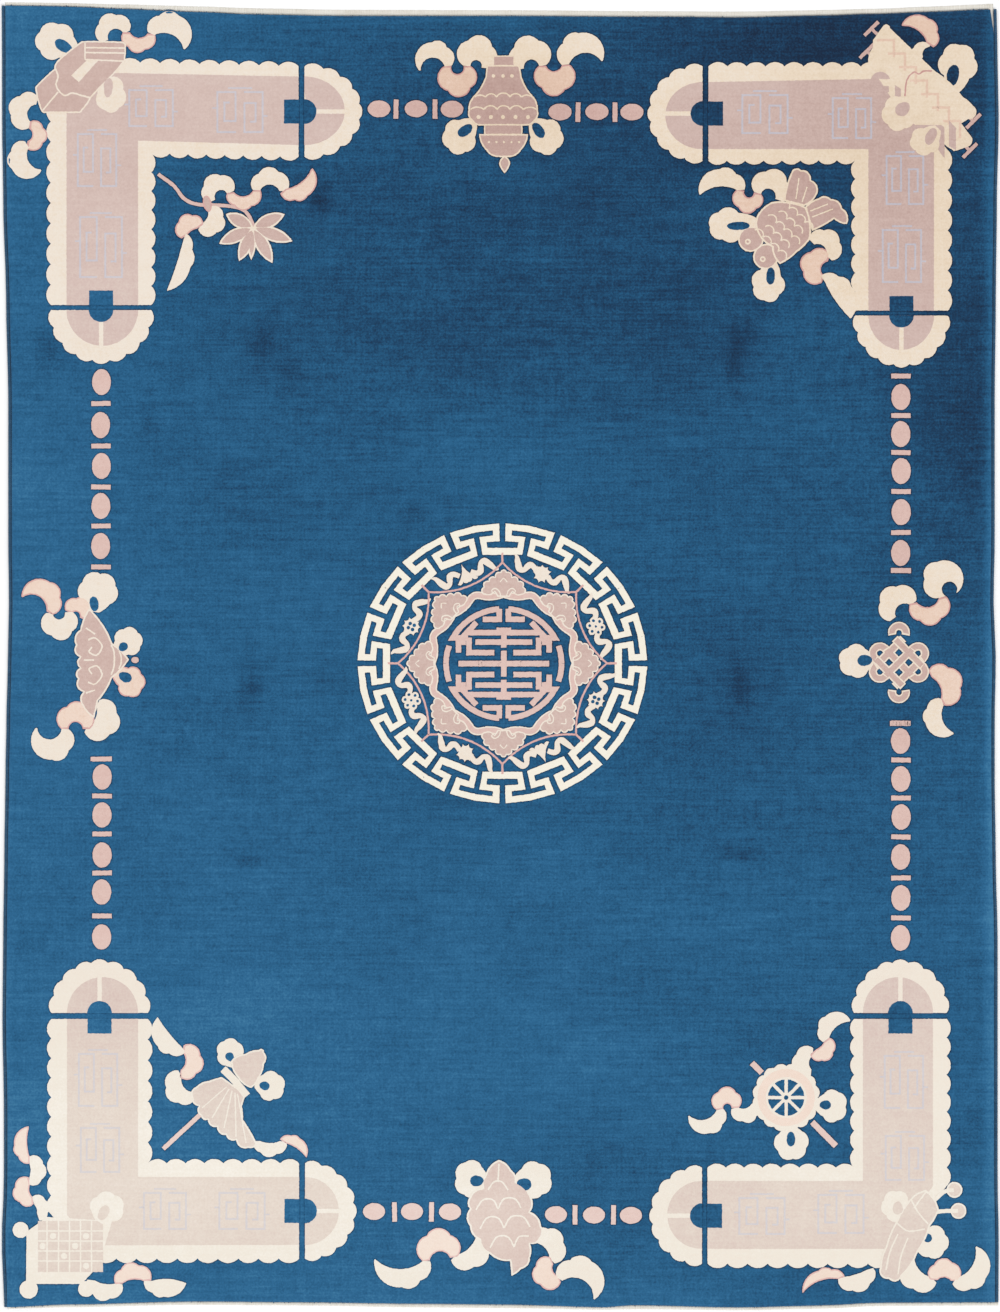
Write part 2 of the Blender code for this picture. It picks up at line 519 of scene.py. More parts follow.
def scale_rows(start, end, half_width, rows, across, layer):
    """Rows of small cream arcs like fish scales, from start towards end."""
    way = complex(end[0] - start[0], end[1] - start[1])
    ahead = way / abs(way)
    aside = 1j * ahead
    step = abs(way) / rows
    pitch = 2 * half_width / across
    for row in range(rows):
        offset = 0.5 if row % 2 else 0.0
        for k in range(across - (1 if row % 2 else 0)):
            sideways = -half_width + pitch * (k + 0.5 + offset)
            middle = complex(*start) + ahead * step * (row + 0.5) + aside * sideways
            a = middle - aside * pitch * 0.5
            b = middle + aside * pitch * 0.5
            line = arc((a.real, a.imag), (b.real, b.imag), 0.42) + [(b.real, b.imag)]
            lay("cream", layer, stroke(line, 1.3, smooth=False))


# The corner brackets

SCALLOP_PITCH = 19.5
SCALLOP_BULGE = 0.22
SCALLOP_DEPTH = 4.3

# Each bracket. side and end give the way that it faces. The outer corner is hidden by an emblem, so each arm
# starts a little way from it. Every number is a distance from the outer corner, and a pair holds the values
# near the corner and at the arm's far end
BRACKETS = (
    {
        "faces": (1, 1), "corner": (46.5, 56), "starts": (54, 45), "outer": (0, 6), "panel_top": (15.5, 20.5),
        "panel_low": (84.5, 89), "inner": (101.5, 105), "upright": (20, 91.5, 109),
        "level_ends": (252, 258, 317.5), "upright_ends": (249, 254, 309),
    },
    {
        "faces": (-1, 1), "corner": (952, 62), "starts": (72, 88), "outer": (0, 0), "panel_top": (15.5, 20),
        "panel_low": (87, 87), "inner": (102.5, 103), "upright": (18, 83.5, 101),
        "level_ends": (243.5, 249.5, 306), "upright_ends": (248.5, 253.5, 307),
    },
    {
        "faces": (1, -1), "corner": (47, 1263), "starts": (49, 48), "outer": (0, 0), "panel_top": (17.5, 18),
        "panel_low": (86, 86), "inner": (104, 104), "upright": (20, 91, 105),
        "level_ends": (252, 258, 311), "upright_ends": (244, 250, 305),
    },
    {
        "faces": (-1, -1), "corner": (951, 1268), "starts": (63, 82), "outer": (0, 0), "panel_top": (19, 19),
        "panel_low": (87, 87), "inner": (104.5, 104.5), "upright": (18, 88, 101),
        "level_ends": (243.5, 249, 303), "upright_ends": (249, 255, 310),
    },
)


def bracket(row):
    side, end = row["faces"]
    corner_x, corner_y = row["corner"]

    def at(points):
        return [(corner_x + side * p[0], corner_y + end * p[1]) for p in points]

    deep = SCALLOP_DEPTH
    level_from, upright_from = row["starts"]
    level_to, _, _ = row["level_ends"]
    upright_to, _, _ = row["upright_ends"]
    panel_out, panel_in, arm_in = row["upright"]
    outer, inner = row["outer"], row["inner"]
    panel_top, panel_low = row["panel_top"], row["panel_low"]

    def eased(pair, along):
        return pair[0] + (pair[1] - pair[0]) * along / level_to

    def edge(start, finish):
        return scallops(start, finish, SCALLOP_PITCH, SCALLOP_BULGE)

    start = (level_from, eased(outer, level_from) + deep)
    corner = (arm_in - deep, inner[0] - deep)
    path = edge(start, (level_to, outer[1] + deep)) + [(level_to, outer[1] + deep, 0)]
    path += edge((level_to, inner[1] - deep), corner) + edge(corner, (arm_in - deep, upright_to))
    path += [(arm_in - deep, upright_to, 0)] + edge((deep, upright_to), (deep, upright_from))
    path += [(deep, upright_from, 0)]
    lay("cream", 0, at(outline(path)), painted_shade=True)
    panel = [
        (level_from, eased(panel_top, level_from), 0), (level_to, panel_top[1], 0),
        (level_to, panel_low[1], 0), (panel_in, panel_low[0], 0), (panel_in, upright_to, 0),
        (panel_out, upright_to, 0), (panel_out, upright_from, 0),
    ]
    lay("rose", 1, at(outline(panel)))

    def level_arm(along, across):
        return (along, across)

    def upright_arm(along, across):
        return (across, along)

    level_cream = (outer[1] + deep, inner[1] - deep)
    arm_end(at, level_arm, level_cream, (panel_top[1], panel_low[1]), row["level_ends"])
    arm_end(at, upright_arm, (deep, arm_in - deep), (panel_out, panel_in), row["upright_ends"])


CAP_LOBES = 9
CAP_BORDER = 15
DISC_STEPS = 44
SPLIT_START = 10
SPLIT_PAST = 3
SPLIT_WIDTH = 4.4
NOTCH_DEPTH = 14.5
NOTCH_HALF = 12
HALF_ROUND = 12.4
SLIT_OVERLAP = 0.5


def arm_end(at, turned, cream, rose, along):
    """The rounded cap beyond the divider, with its split half disc, and the blue notch."""
    start, end, cap = along
    middle = (cream[0] + cream[1]) / 2
    depth = cap - end - SCALLOP_DEPTH
    half = (cream[1] - cream[0]) / 2
    cusps = []
    for k in range(CAP_LOBES + 1):
        angle = math.radians(-90 + 180 * k / CAP_LOBES)
        cusps.append((end + depth * math.cos(angle), middle + half * math.sin(angle), SCALLOP_BULGE))
    cusps[-1] = (*cusps[-1][:2], 0)
    lay("cream", 0, at([turned(*p) for p in outline(cusps)]), painted_shade=True)
    rose_half = (rose[1] - rose[0]) / 2
    rose_middle = (rose[0] + rose[1]) / 2
    rose_depth = depth - CAP_BORDER
    disc = []
    for k in range(DISC_STEPS + 1):
        angle = math.radians(-90 + 180 * k / DISC_STEPS)
        disc.append((end + rose_depth * math.cos(angle), rose_middle + rose_half * math.sin(angle)))
    lay("rose", 1, at([turned(*p) for p in disc]))
    line = [(end + SPLIT_START, middle), (end + rose_depth + SPLIT_PAST, middle)]
    lay("cream", 2, at([turned(*p) for p in stroke(line, SPLIT_WIDTH, smooth=False)]))
    notch_start = start - NOTCH_DEPTH
    notch_end = start + SLIT_OVERLAP
    notch = [
        (notch_start, middle - NOTCH_HALF, 0), (notch_end, middle - NOTCH_HALF, 0),
        (notch_end, middle + NOTCH_HALF, 0), (notch_start, middle + NOTCH_HALF, 0),
    ]
    lay("blue", 3, at([turned(*p) for p in outline(notch)]))
    base = end - SLIT_OVERLAP
    half_round = [(base, middle - HALF_ROUND, 0.5), (base, middle + HALF_ROUND, 0)]
    lay("blue", 3, at([turned(*p) for p in outline(half_round)]))


# Faint key ornaments in the panels. Columns: middle x, middle y, half width, half height
PANEL_ORNAMENTS = (
    (151, 108, 23, 18), (240, 112, 24, 20), (97, 160, 20, 26), (101, 247, 22, 30),
    (765, 114, 24, 19), (852, 118, 20, 20), (905, 180, 19, 24), (902, 256, 20, 26),
    (165, 1211, 22, 18), (242, 1211, 24, 18), (98, 1080, 20, 26), (100, 1150, 20, 22),
    (762, 1216, 24, 18), (841, 1214, 24, 19), (904, 1082, 20, 26), (905, 1158, 20, 22),
)


# A square spiral as shares of the ornament's half width and half height
SPIRAL = (
    (0.10, -1.0), (1.0, -1.0), (1.0, 1.0), (0.12, 1.0),
    (0.12, -0.45), (0.66, -0.45), (0.66, 0.48), (0.40, 0.48),
)
SPIRAL_YARN = 1.9
SPUR_YARN = 1.7


def key_ornament(x, y, half_width, half_height):
    """Square spirals facing each other, an old border pattern."""
    for side in (-1, 1):
        w = half_width * 0.86
        h = half_height
        line = [(x + side * (2 + w * u), y + side * h * v) for u, v in SPIRAL]
        lay("grey", 2, bent(line, SPIRAL_YARN))
        level = y + side * h * 0.2
        lay("grey", 2, bent([(x + side * (w + 2), level), (x + side * (w + 7), level)], SPUR_YARN))
    above = y - half_height - 4
    lay("grey", 2, bent([(x - half_width * 0.5, above), (x + half_width * 0.5, above)], SPUR_YARN))


# Strings of beads and bars between the brackets. Bead rows have the place of each bead along the string
BEAD_STRINGS = (
    # level, cross place, half length, half width, beads, bars
    (True, 109, 11.3, 8.4, (379, 416, 452), (396, 435)),
    (True, 112, 11.6, 8.3, (560, 597, 632), (578, 615)),
    (True, 1212, 11.0, 8.4, (374, 412, 450), (394.5, 431.5)),
    (True, 1215, 11.0, 8.4, (556, 594, 631), (575, 613.5)),
    (False, 101, 13.0, 9.4, (382, 425, 466, 506, 546), (403.5, 446, 487, 526, 567)),
    (False, 102, 12.6, 9.6, (777, 815, 855, 892, 937), (759, 796, 834, 873, 916)),
    (False, 901, 13.0, 9.6, (397, 434, 471, 512, 553), (376, 415.5, 452.5, 491.5, 532.5, 570.5)),
    (False, 901, 12.8, 9.6, (741, 779, 817, 857, 898, 938), (723, 760, 798, 837, 878, 918)),
)
BAR_LENGTH = 19.5
BAR_WIDTH = 4.8
BEAD_LEAN = 0.5
BAR_LEAN = 0.6


def bead_string(level, cross, half_length, half_width, beads, bars):
    for along in beads:
        lean = rng.uniform(-BEAD_LEAN, BEAD_LEAN)
        if level:
            points = ellipse(along, cross + lean, half_length, half_width)
        else:
            points = ellipse(cross + lean, along, half_width, half_length)
        lay("blush", 0, points, painted_shade=True)
    half = BAR_LENGTH / 2
    for along in bars:
        lean = rng.uniform(-BAR_LEAN, BAR_LEAN)
        if level:
            line = [(along - lean / 2, cross - half), (along + lean / 2, cross + half)]
        else:
            line = [(cross - half, along - lean / 2), (cross + half, along + lean / 2)]
        lay("blush", 0, stroke(line, BAR_WIDTH, smooth=False), painted_shade=True)


# The medallion

RING_X = 502.4
RING_Y = 663.3
RING_STRETCH = 1.035
RING_REPEATS = 16
# Radii of the fret ring, from the outside in: the edges of its three courses
FRET = (140.0, 133.4, 128.2, 122.2, 116.4, 110.2)
FRET_GAP = 1.25
FRET_STEM = 2.75


def polar(angle, radius, centre=(RING_X, RING_Y)):
    """A point of the medallion. angle is in degrees clockwise from the top."""
    turn = math.radians(angle)
    return (centre[0] + RING_STRETCH * radius * math.sin(turn), centre[1] - radius * math.cos(turn))


def fret_ring():
    repeat = 360 / RING_REPEATS
    half = repeat / 2
    near = half - FRET_GAP
    r0, r1, r2, r3, r4, r5 = FRET
    right_side = [
        (FRET_GAP, r3), (FRET_GAP, r0), (half + 0.25, r0), (half + 0.25, r1), (FRET_GAP + FRET_STEM, r1),
        (FRET_GAP + FRET_STEM, r2), (near, r2), (near, r5),
    ]
    left_side = [(-a, r) for a, r in reversed(right_side)]
    inner_right = [
        (-(near - FRET_STEM), r3), (-(near - FRET_STEM), r4), (near - FRET_STEM, r4),
        (near - FRET_STEM, r3),
    ]
    corners = left_side + inner_right + right_side
    for k in range(RING_REPEATS):
        middle = k * repeat
        path = [polar(middle + a, r) for a, r in corners]
        lay("white", 0, outline([(x, y, 0.0) for x, y in path]), painted_shade=True)


STAR_TIP = 101.0
STAR_WAIST = 84.0
STAR_WIDTH = 1.9


def star_line():
    """Eight curves that meet in points, each with a short stem to the fret."""
    half_turn = math.radians(22.5)
    bulge = -(STAR_TIP * math.cos(half_turn) - STAR_WAIST) / (2 * STAR_TIP * math.sin(half_turn))
    for k in range(8):
        here = polar(45 * k, STAR_TIP)
        there = polar(45 * (k + 1), STAR_TIP)
        part = arc(here, there, bulge) + [there]
        lay("pink", 0, stroke(part, STAR_WIDTH, smooth=False))
        stem = [polar(45 * k, STAR_TIP - 1), polar(45 * k, FRET[5] + 0.5)]
        lay("pink", 0, stroke(stem, STAR_WIDTH + 0.2, smooth=False))


CLOUD_RING = (503.6, 663.4)


def cloud_ring():
    """A waving band that joins the cloud heads."""
    line = []
    for degree in range(0, 360, 3):
        turn = (degree + 22.5) % 45 - 22.5
        swell = math.exp(-((abs(turn) - 22.5) / 7.0) ** 2)
        dip = math.exp(-(turn / 3.5) ** 2)
        line.append(polar(degree, 67.6 + 5.6 * swell + 1.8 * dip, CLOUD_RING))
    lay_band("cream", 0, line, 7.6, painted_shade=True)
    lay_band("blush", 1, line, 4.9)
    for k in range(8):
        cloud_head(45 * k)


def lay_band(yarn, layer, line, width, painted_shade=False):
    """A closed band, in eight parts that overlap a little under the cloud heads."""
    points = curve(line, closed=True)
    count = len(points)
    for part in range(8):
        first = round(count * part / 8)
        last = round(count * (part + 1) / 8) + 1
        piece = [points[k % count] for k in range(first, last + 1)]
        left, right = sides_of(piece, [width] * len(piece))
        lay(yarn, layer, left + right[::-1], painted_shade)


# A cloud head's lobes. Columns: along the ring, outward from the band's middle, bulge to the next point
CLOUD_HEAD = (
    (-6, -3, 0.0), (-9, 2, 0.20), (-18, -1, 0.42), (-20, 7, 0.35), (-15, 13, 0.33), (-8.5, 17, 0.33),
    (-3.2, 22, 0.42),
    (3.2, 22, 0.33), (8.5, 17, 0.33), (15, 13, 0.35), (20, 7, 0.42), (18, -1, 0.20), (9, 2, 0.0),
    (6, -3, 0.0),
)


def cloud_head(angle):
    def placed(u, w):
        x, y = polar(angle, 69.5 + w, CLOUD_RING)
        turn = math.radians(angle)
        return (x + u * math.cos(turn), y + u * math.sin(turn))

    path = [(*placed(u, w), bulge) for u, w, bulge in CLOUD_HEAD]
    lay_edged("clay", "cream", 2, outline(path), 1.4)
    for side in (-1, 1):
        curl = [placed(side * u, w) for u, w in ((3, -2), (4.5, 3), (8.5, 5.5), (12, 3.2), (10.5, 0.5))]
        lay("cream", 4, stroke(curl, 1.2))
    lay("cream", 4, stroke([placed(-3.5, 12), placed(0, 15.5), placed(3.5, 12)], 1.1))


ROUNDEL = (503.8, 663.6)
ROUNDEL_RADIUS = 57.6
ROUNDEL_YARN = 5.6


def fret_roundel():
    """A round of level frets, the same on both sides of both of its axes."""
    def at(x, y):
        return (ROUNDEL[0] + x * 1.055, ROUNDEL[1] + y)

    def both(line):
        for across in (-1, 1):
            for down in (-1, 1):
                lay("blush", 0, bent([at(across * x, down * y) for x, y in line], ROUNDEL_YARN), painted_shade=True)

    rim = ROUNDEL_RADIUS - ROUNDEL_YARN / 2

    def rim_arc(first, last):
        turns = [math.radians(a) for a in np.linspace(first, last, max(3, int((last - first) / 4)))]
        return [(rim * math.sin(a), rim * math.cos(a)) for a in turns]

    both(rim_arc(4.5, 62) + [(rim * 0.62, rim * math.cos(math.radians(62)))])
    both(rim_arc(71, 90))
    both([(4.3, rim), (4.3, rim - 10.5), (20, rim - 10.5)])
    both([(26, rim - 13.5), (35, 31), (4.3, 31), (4.3, 36)])
    both([(0, 21.5), (27, 21.5)])
    both([(36, 21.5), (43, 21.5), (43, 11)])
    both([(33, 26), (33, 11), (9, 11)])
    both([(0, 0), (43, 0)])
    lay("blush", 0, bent([at(0, -13), at(0, 13)], ROUNDEL_YARN), painted_shade=True)
    for down in (-1, 1):
        lay("blush", 0, bent([at(0, down * 36), at(0, down * 16)], ROUNDEL_YARN), painted_shade=True)


def small_emblem(number):
    """A cream emblem with a ribbon to each side, in the space between the star and the fret."""
    angle = 22.5 + 45 * number
    turn = math.radians(angle)
    centre = polar(angle, 96.5, CLOUD_RING)

    def placed(u, w, *rest):
        return (
            centre[0] + u * math.cos(turn) + w * math.sin(turn),
            centre[1] + u * math.sin(turn) - w * math.cos(turn), *rest,
        )

    for side in (-1, 1):
        waves = (
            (6, 0, 5), (11, -4, 5.5), (15.5, -3, 6.5), (18, 3.5, 5), (22.5, 4.5, 6.5), (26.5, -1, 6),
            (29.5, -6.5, 4), (33, -8.5, 1.2),
        )
        lift = 1 if side > 0 else -1
        line = [placed(side * u, 0.5 + w * lift * (1 if number % 2 else 0.9), width) for u, w, width in waves]
        lay("cream", 0, stroke(line, 5), painted_shade=True)
    shape = number % 4
    if shape == 0:
        path = [(-8, -6), (-9, 1), (-6, 7), (0, 9), (6, 7), (9, 1), (8, -6), (3, -9), (-3, -9)]
        lay("cream", 1, outline([(*placed(u, -w), 0.3) for u, w in path]), painted_shade=True)
    elif shape == 1:
        for k in range(6):
            a = math.radians(60 * k)
            x, y = placed(6.2 * math.cos(a), 6.2 * math.sin(a))
            lay("cream", 1, ellipse(x, y, 3.6, 3.6), painted_shade=True)
            lay("blue", 2, ellipse(x, y, 1.5, 1.5))
        lay("cream", 1, ellipse(*placed(0, 0), 3.4, 3.4))
        lay("blue", 2, ellipse(*placed(0, 0), 1.3, 1.3))
    elif shape == 2:
        turns = [math.radians(36 * k) for k in range(10)]
        cusps = [(9.4 * math.cos(a), 9.4 * math.sin(a)) for a in turns]
        lay("cream", 1, outline([(*placed(u, -w), -0.3) for u, w in cusps]), painted_shade=True)
        for k in range(4):
            a = math.radians(45 + 90 * k)
            lay("blue", 2, ellipse(*placed(3.2 * math.cos(a), 3.2 * math.sin(a)), 1.9, 1.9))
    else:
        path = [(-11, -7, 0.1), (0, 11, 0.1), (11, -7, -0.3), (5, -6, -0.3), (0, -8, -0.3), (-5, -6, -0.3)]
        lay("cream", 1, outline([(*placed(u, w), -bulge) for u, w, bulge in path]), painted_shade=True)


# The emblems round the field

def vase():
    body = [
        (487, 65, 0.0), (519.5, 65, 0.02), (521.5, 76, -0.06), (533, 96, 0.10), (538, 110, 0.16),
        (534.5, 121, 0.12),
        (527, 125.5, 0.0), (479.5, 125.5, 0.12), (472, 121, 0.16), (468.3, 110, 0.10), (473.5, 96, -0.06),
        (485.5, 76, 0.02),
    ]
    lay_edged("clay", "cream", 4, outline(body), 1.6)
    neck = [(493, 55.5, 0), (514.5, 55.5, 0), (514.5, 66, 0), (493, 66, 0)]
    lay_edged("clay", "cream", 3, outline(neck), 1.2)
    base = [(484, 124, 0), (522.5, 124, 0), (522.5, 135, 0), (484, 135, 0)]
    lay_edged("clay", "cream", 3, outline(base), 1.4)
    bowl = [
        (479, 134, 0), (528, 134, 0.10), (521, 150, 0.14), (508, 157, 0.03), (499, 157, 0.14),
        (486, 150, 0.10),
    ]
    lay_edged("clay", "cream", 5, outline(bowl), 1.5)
    finial = [(504.6, 155.8, 0.12), (510.2, 163, 0.08), (504.6, 173, 0.08), (499, 163, 0.12)]
    lay_edged("clay", "cream", 5, outline(finial), 1.4)
    for y, edges in (
        (97, (474.5, 485.5, 496.5, 510, 521.5, 532.5)), (109.5, (470.5, 484, 497, 510, 523, 536.5)),
    ):
        for a, b in zip(edges, edges[1:]):
            rise = 0.30 if a > 480 and b < 525 else 0.18
            lay("cream", 7, stroke(arc((a, y), (b, y), rise) + [(b, y)], 1.5, smooth=False))
    for y, xs, size in (
        (76, (493.5, 503, 512), 1.9), (117, (478.5, 491, 503, 515.5, 528), 2.1),
        (142, (489, 496.5, 504, 511.5, 519), 1.2),
    ):
        for x in xs:
            lay("cream", 7, ellipse(x, y, size, size))
    ribbon("cream", (485, 68), ((467, 66, -29, -7), (448, 66, 28, 8), (420, 70.5, -26, -11)))
    ribbon("cream", (520.5, 69), ((542.5, 65.5, 29, 8), (565.5, 64.5, -28, -6), (602, 61, 30, 10)))
    bow((474, 121), (459.5, 136.5), 16.5, 17.5, (464.5, 131, 7.5, 5, -30), layer=1)
    bow((532, 121), (546, 136.5), 16.5, 18, (539, 131, 5, 7.5, -35), layer=1)


def books():
    cover = [
        (82, 41, 0.01), (122, 41.5, 0.22), (126, 46, 0.02), (125, 61, 0.02), (98, 90, 0), (91, 98, 0.04),
        (80, 113, 0),
        (43, 113, 0.08), (39, 105, 0.03), (35, 87, 0.02), (54, 69, 0.10), (58, 60, 0.02),
    ]
    lay_edged("clay", "cream", 4, outline(cover), 1.6)
    for line in (
        ((85, 43), (85, 59.5), (124, 61)), ((85, 47.5), (125, 48)), ((85, 52.5), (125, 53)),
        ((58, 92), (43, 110)),
    ):
        lay("cream", 6, stroke(list(line), 1.6, smooth=False))
    spine = ((55, 68), (58, 76), (56, 84), (59, 91), (65, 95.5), (72, 93), (82, 95.5), (91, 98))
    lay("cream", 6, stroke(list(spine), 1.7))
    lay("cream", 6, outline([(87, 60, 0), (98.5, 60, 0), (79, 82, 0), (71, 75.5, 0)]))
    bow((77, 53), (55.5, 41), 20, 18, (62.5, 45.5, 8.5, 5.5, 35), layer=1)
    bow((103, 82), (110.5, 94), 14, 19, (108.5, 88, 4.2, 9.5, 8), hole_yarn="rose", layer=3)
    ribbon("cream", (105, 41), ((126.5, 32, 22, 8), (151, 33.5, -18, -5), (184, 49, 28, 8)))
    ribbon("cream", (37, 101), ((29.5, 125, -23, -6), (27, 144.5, 17, 4), (41, 170, -25, -7)))


def lotus():
    stem = (
        (158, 174), (174, 186), (184, 198.5), (196, 204), (213, 205), (229, 206), (242, 209), (249, 216),
        (254, 227),
    )
    lay("blush", 1, stroke(list(stem), 3.6), painted_shade=True)
    lay_edged("clay", "pink", 3, ellipse(207.3, 203.6, 4.2, 8.2, -12), 1.1)
    for x, y, width in (
        (226, 214, 14), (219, 243.5, 14), (239, 261, 13), (251, 260, 8), (272.5, 263, 14), (292.5, 241, 14),
        (284.5, 214, 14),
    ):
        petal((253, 227.5), (x, y), width)
    ribbon(
        "cream", (212, 201),
        ((230.5, 192.5, 22, 7), (256.5, 190, -17, -5), (283, 191, 21, 6), (312, 168.5, -19, -4)),
    )
    ribbon("cream", (210, 209), ((200, 226.5, 19, 2), (184.5, 236.5, -17, -1), (167, 290, 15, 1)))


def scrolls():
    body = [
        (884, 25, 0.3), (890, 28, 0), (917, 54, 0), (935, 71, 0.05), (963, 97, 0.05), (976, 109, 0.3),
        (968, 119, 0.03),
        (961, 123, 0), (971, 136, 0.3), (966, 147, 0.03), (954, 151, 0), (938, 140, 0), (905, 118, 0),
        (890, 96, 0),
        (868, 62, 0.08), (873, 47, 0), (873, 40, 0),
    ]
    lay("cream", 3, outline(body), painted_shade=True)
    for k in range(7):
        x = 894 + 11 * k
        y = 40 + 13.5 * k
        lay("peach", 4, bent([(x - 17, y), (x, y), (x, y + 17)], 2.4))
    lay("rose", 5, outline([(871, 79, 0.38), (890, 79, 0)]))
    lay("rose", 5, outline([(869, 86, 0), (889, 86, 0), (889, 92, 0), (874, 92, 0)]))
    lay("rose", 5, outline([(895, 85, 0), (901, 89, 0), (901, 114, 0), (895, 112, 0)]))
    lay("rose", 5, outline([
        (914, 125, 0), (941, 125, 0.2), (944.5, 130, 0), (944.5, 158, 0), (938.5, 150, 0), (938.5, 132, 0),
        (914, 132, 0),
    ]))
    lay("rose", 5, outline([(949, 120, 0), (956, 128, 0), (956, 150, 0), (949, 146, 0)]))
    lay("pink", 6, stroke([(905, 96), (907, 80), (914, 72), (919, 74), (924, 71), (932, 71)], 1.4))
    bow((912, 100), (899, 113), 16.5, 17.5, (902, 109.5, 7, 6.5, -30), hole_yarn="rose", layer=6)
    bow((938, 128), (925, 141), 15, 13.5, (930.5, 137, 5, 8, 20), hole_yarn="rose", layer=6)
    for x, y, turn in ((871.5, 28.5, -45), (867, 51, -45), (973.5, 121, -45), (970, 150.5, -45)):
        way = math.radians(turn)
        dx = math.cos(way)
        dy = math.sin(way)
        lay(
            "blush", 1, stroke([(x - dx * 10, y - dy * 10), (x + dx * 10, y + dy * 10)], 3.6, smooth=False),
            painted_shade=True,
        )
        inward = 1 if x < 900 else -1
        lay(
            "blush", 1, stroke([(x, y), (x - dy * 8 * inward, y + dx * 8 * inward)], 3.2, smooth=False),
            painted_shade=True,
        )
    ribbon("cream", (921, 60), ((930, 46, 13, 3),))
    fold("peach", 3, (930, 45, 8), (902, 25.5, TIP), -21, -5, TAIL_LOBES)
    bow((955, 92), (958, 64), 18.5, 20.5, (953, 74, 6, 9.5, 15), layer=1)


def fish():
    for x, y in ((751, 239), (766, 256.5)):
        lay_edged("clay", "cream", 2, ellipse(x, y, 13, 12.6, -40), 1.7)
        lay("cream", 4, ellipse(x - 3.2, y + 2.6, 3.0, 3.0))
        lay("clay", 5, ellipse(x - 3.2, y + 2.6, 1.3, 1.3))
    body = [
        (758, 214, 0.08), (772, 202, 0.05), (788, 202, 0.05), (806, 207, 0.05), (811, 229, 0.05),
        (810, 239, 0.05),
        (797, 252, 0.05), (780, 264, 0.12), (772, 247, 0.1), (757, 231, 0.12),
    ]
    lay_edged("clay", "cream", 4, outline(body), 1.8)
    scale_rows((767, 248), (800, 212), 21, 5, 4, 6)
    tail = [
        (784, 201, 0.05), (792, 171, 0.25), (801, 170, 0.25), (811, 180, 0.25), (816, 196, 0.1),
        (804, 206, 0),
    ]
    lay_edged("clay", "cream", 2, outline(tail), 1.7)
    other = [
        (805, 207, 0.08), (819, 198, 0.2), (831, 199, 0.2), (842, 208, 0.2), (847, 224, 0.1),
        (834, 219, 0.03), (812, 231, 0),
    ]
    lay_edged("clay", "cream", 2, outline(other), 1.7)
    for line in (
        ((796, 199), (799, 178)), ((802, 202), (807, 187)), ((812, 217), (833, 209)),
        ((810, 211), (828, 204)),
    ):
        lay("cream", 6, stroke(list(line), 1.3, smooth=False))
    bow((757, 222), (728, 225), 19.5, 16, (737, 226, 10, 4, 0), layer=1)
    bow((773, 262), (768, 284), 15.5, 18, (770.5, 277, 4.3, 7.5, 0), layer=1)
    ribbon("cream", (778.5, 200), ((757.5, 193, -26, -8), (741, 190, 20, 6), (700, 194.5, -23, -6)))
    ribbon("cream", (812, 242), ((829, 258, 21, 5), (823, 279, -24, -5), (850, 318, 19, -2)))


def conch():
    body = [
        (89, 608, 0.02), (98, 618, 0.05), (112, 643, 0.05), (129, 659.5, 0.05), (112, 678, 0.05),
        (98, 701, 0.02),
        (94, 718, 0.08), (82, 705, 0.2), (83.5, 692, 0.28), (78, 679, 0.28), (80, 668, 0.28), (80, 657, 0.28),
        (76, 645, 0.22), (80, 630, 0.05),
    ]
    lay_edged("clay", "cream", 3, outline(body), 1.7)
    for line in (
        ((88, 640), (95, 638), (102, 646), (97, 655), (89, 652), (92, 647)),
        ((88, 682), (95, 684), (102, 675), (97, 666), (89, 669), (92, 674)),
        ((111, 645), (114, 652), (114, 666), (111, 675)),
        ((119, 651), (121, 656), (121, 663), (119, 669)),
        ((84, 660), (94, 660)), ((86, 628), (95, 634)), ((86, 693), (95, 690)),
    ):
        lay("cream", 5, stroke(list(line), 1.6))
    lay("blush", 3, ellipse(135, 660, 3.8, 3.2), painted_shade=True)
    ribbon("peach", (83, 619), ((68.5, 612, -18, -4), (49.5, 613, 25, 7), (22, 597, -27, -9)))
    ribbon("cream", (98, 703), ((86, 729, 26, 4), (65, 729, -25, -7), (36.5, 728, 31, 11)))
    bow((95, 612), (98, 591), 19.5, 18.5, (94, 603, 4.5, 6.5, -10), layer=1)
    bow((115, 654), (128, 641.5), 14, 14, (123.5, 646.5, 4.3, 4.3, 0), layer=1)
    bow((113, 670), (130.5, 682), 13.8, 15.5, (126, 677.5, 6, 5, 20), yarn="peach", layer=1)
    lay("blush", 0, stroke([(90.6, 759), (111.6, 759)], 4.2, smooth=False), painted_shade=True)


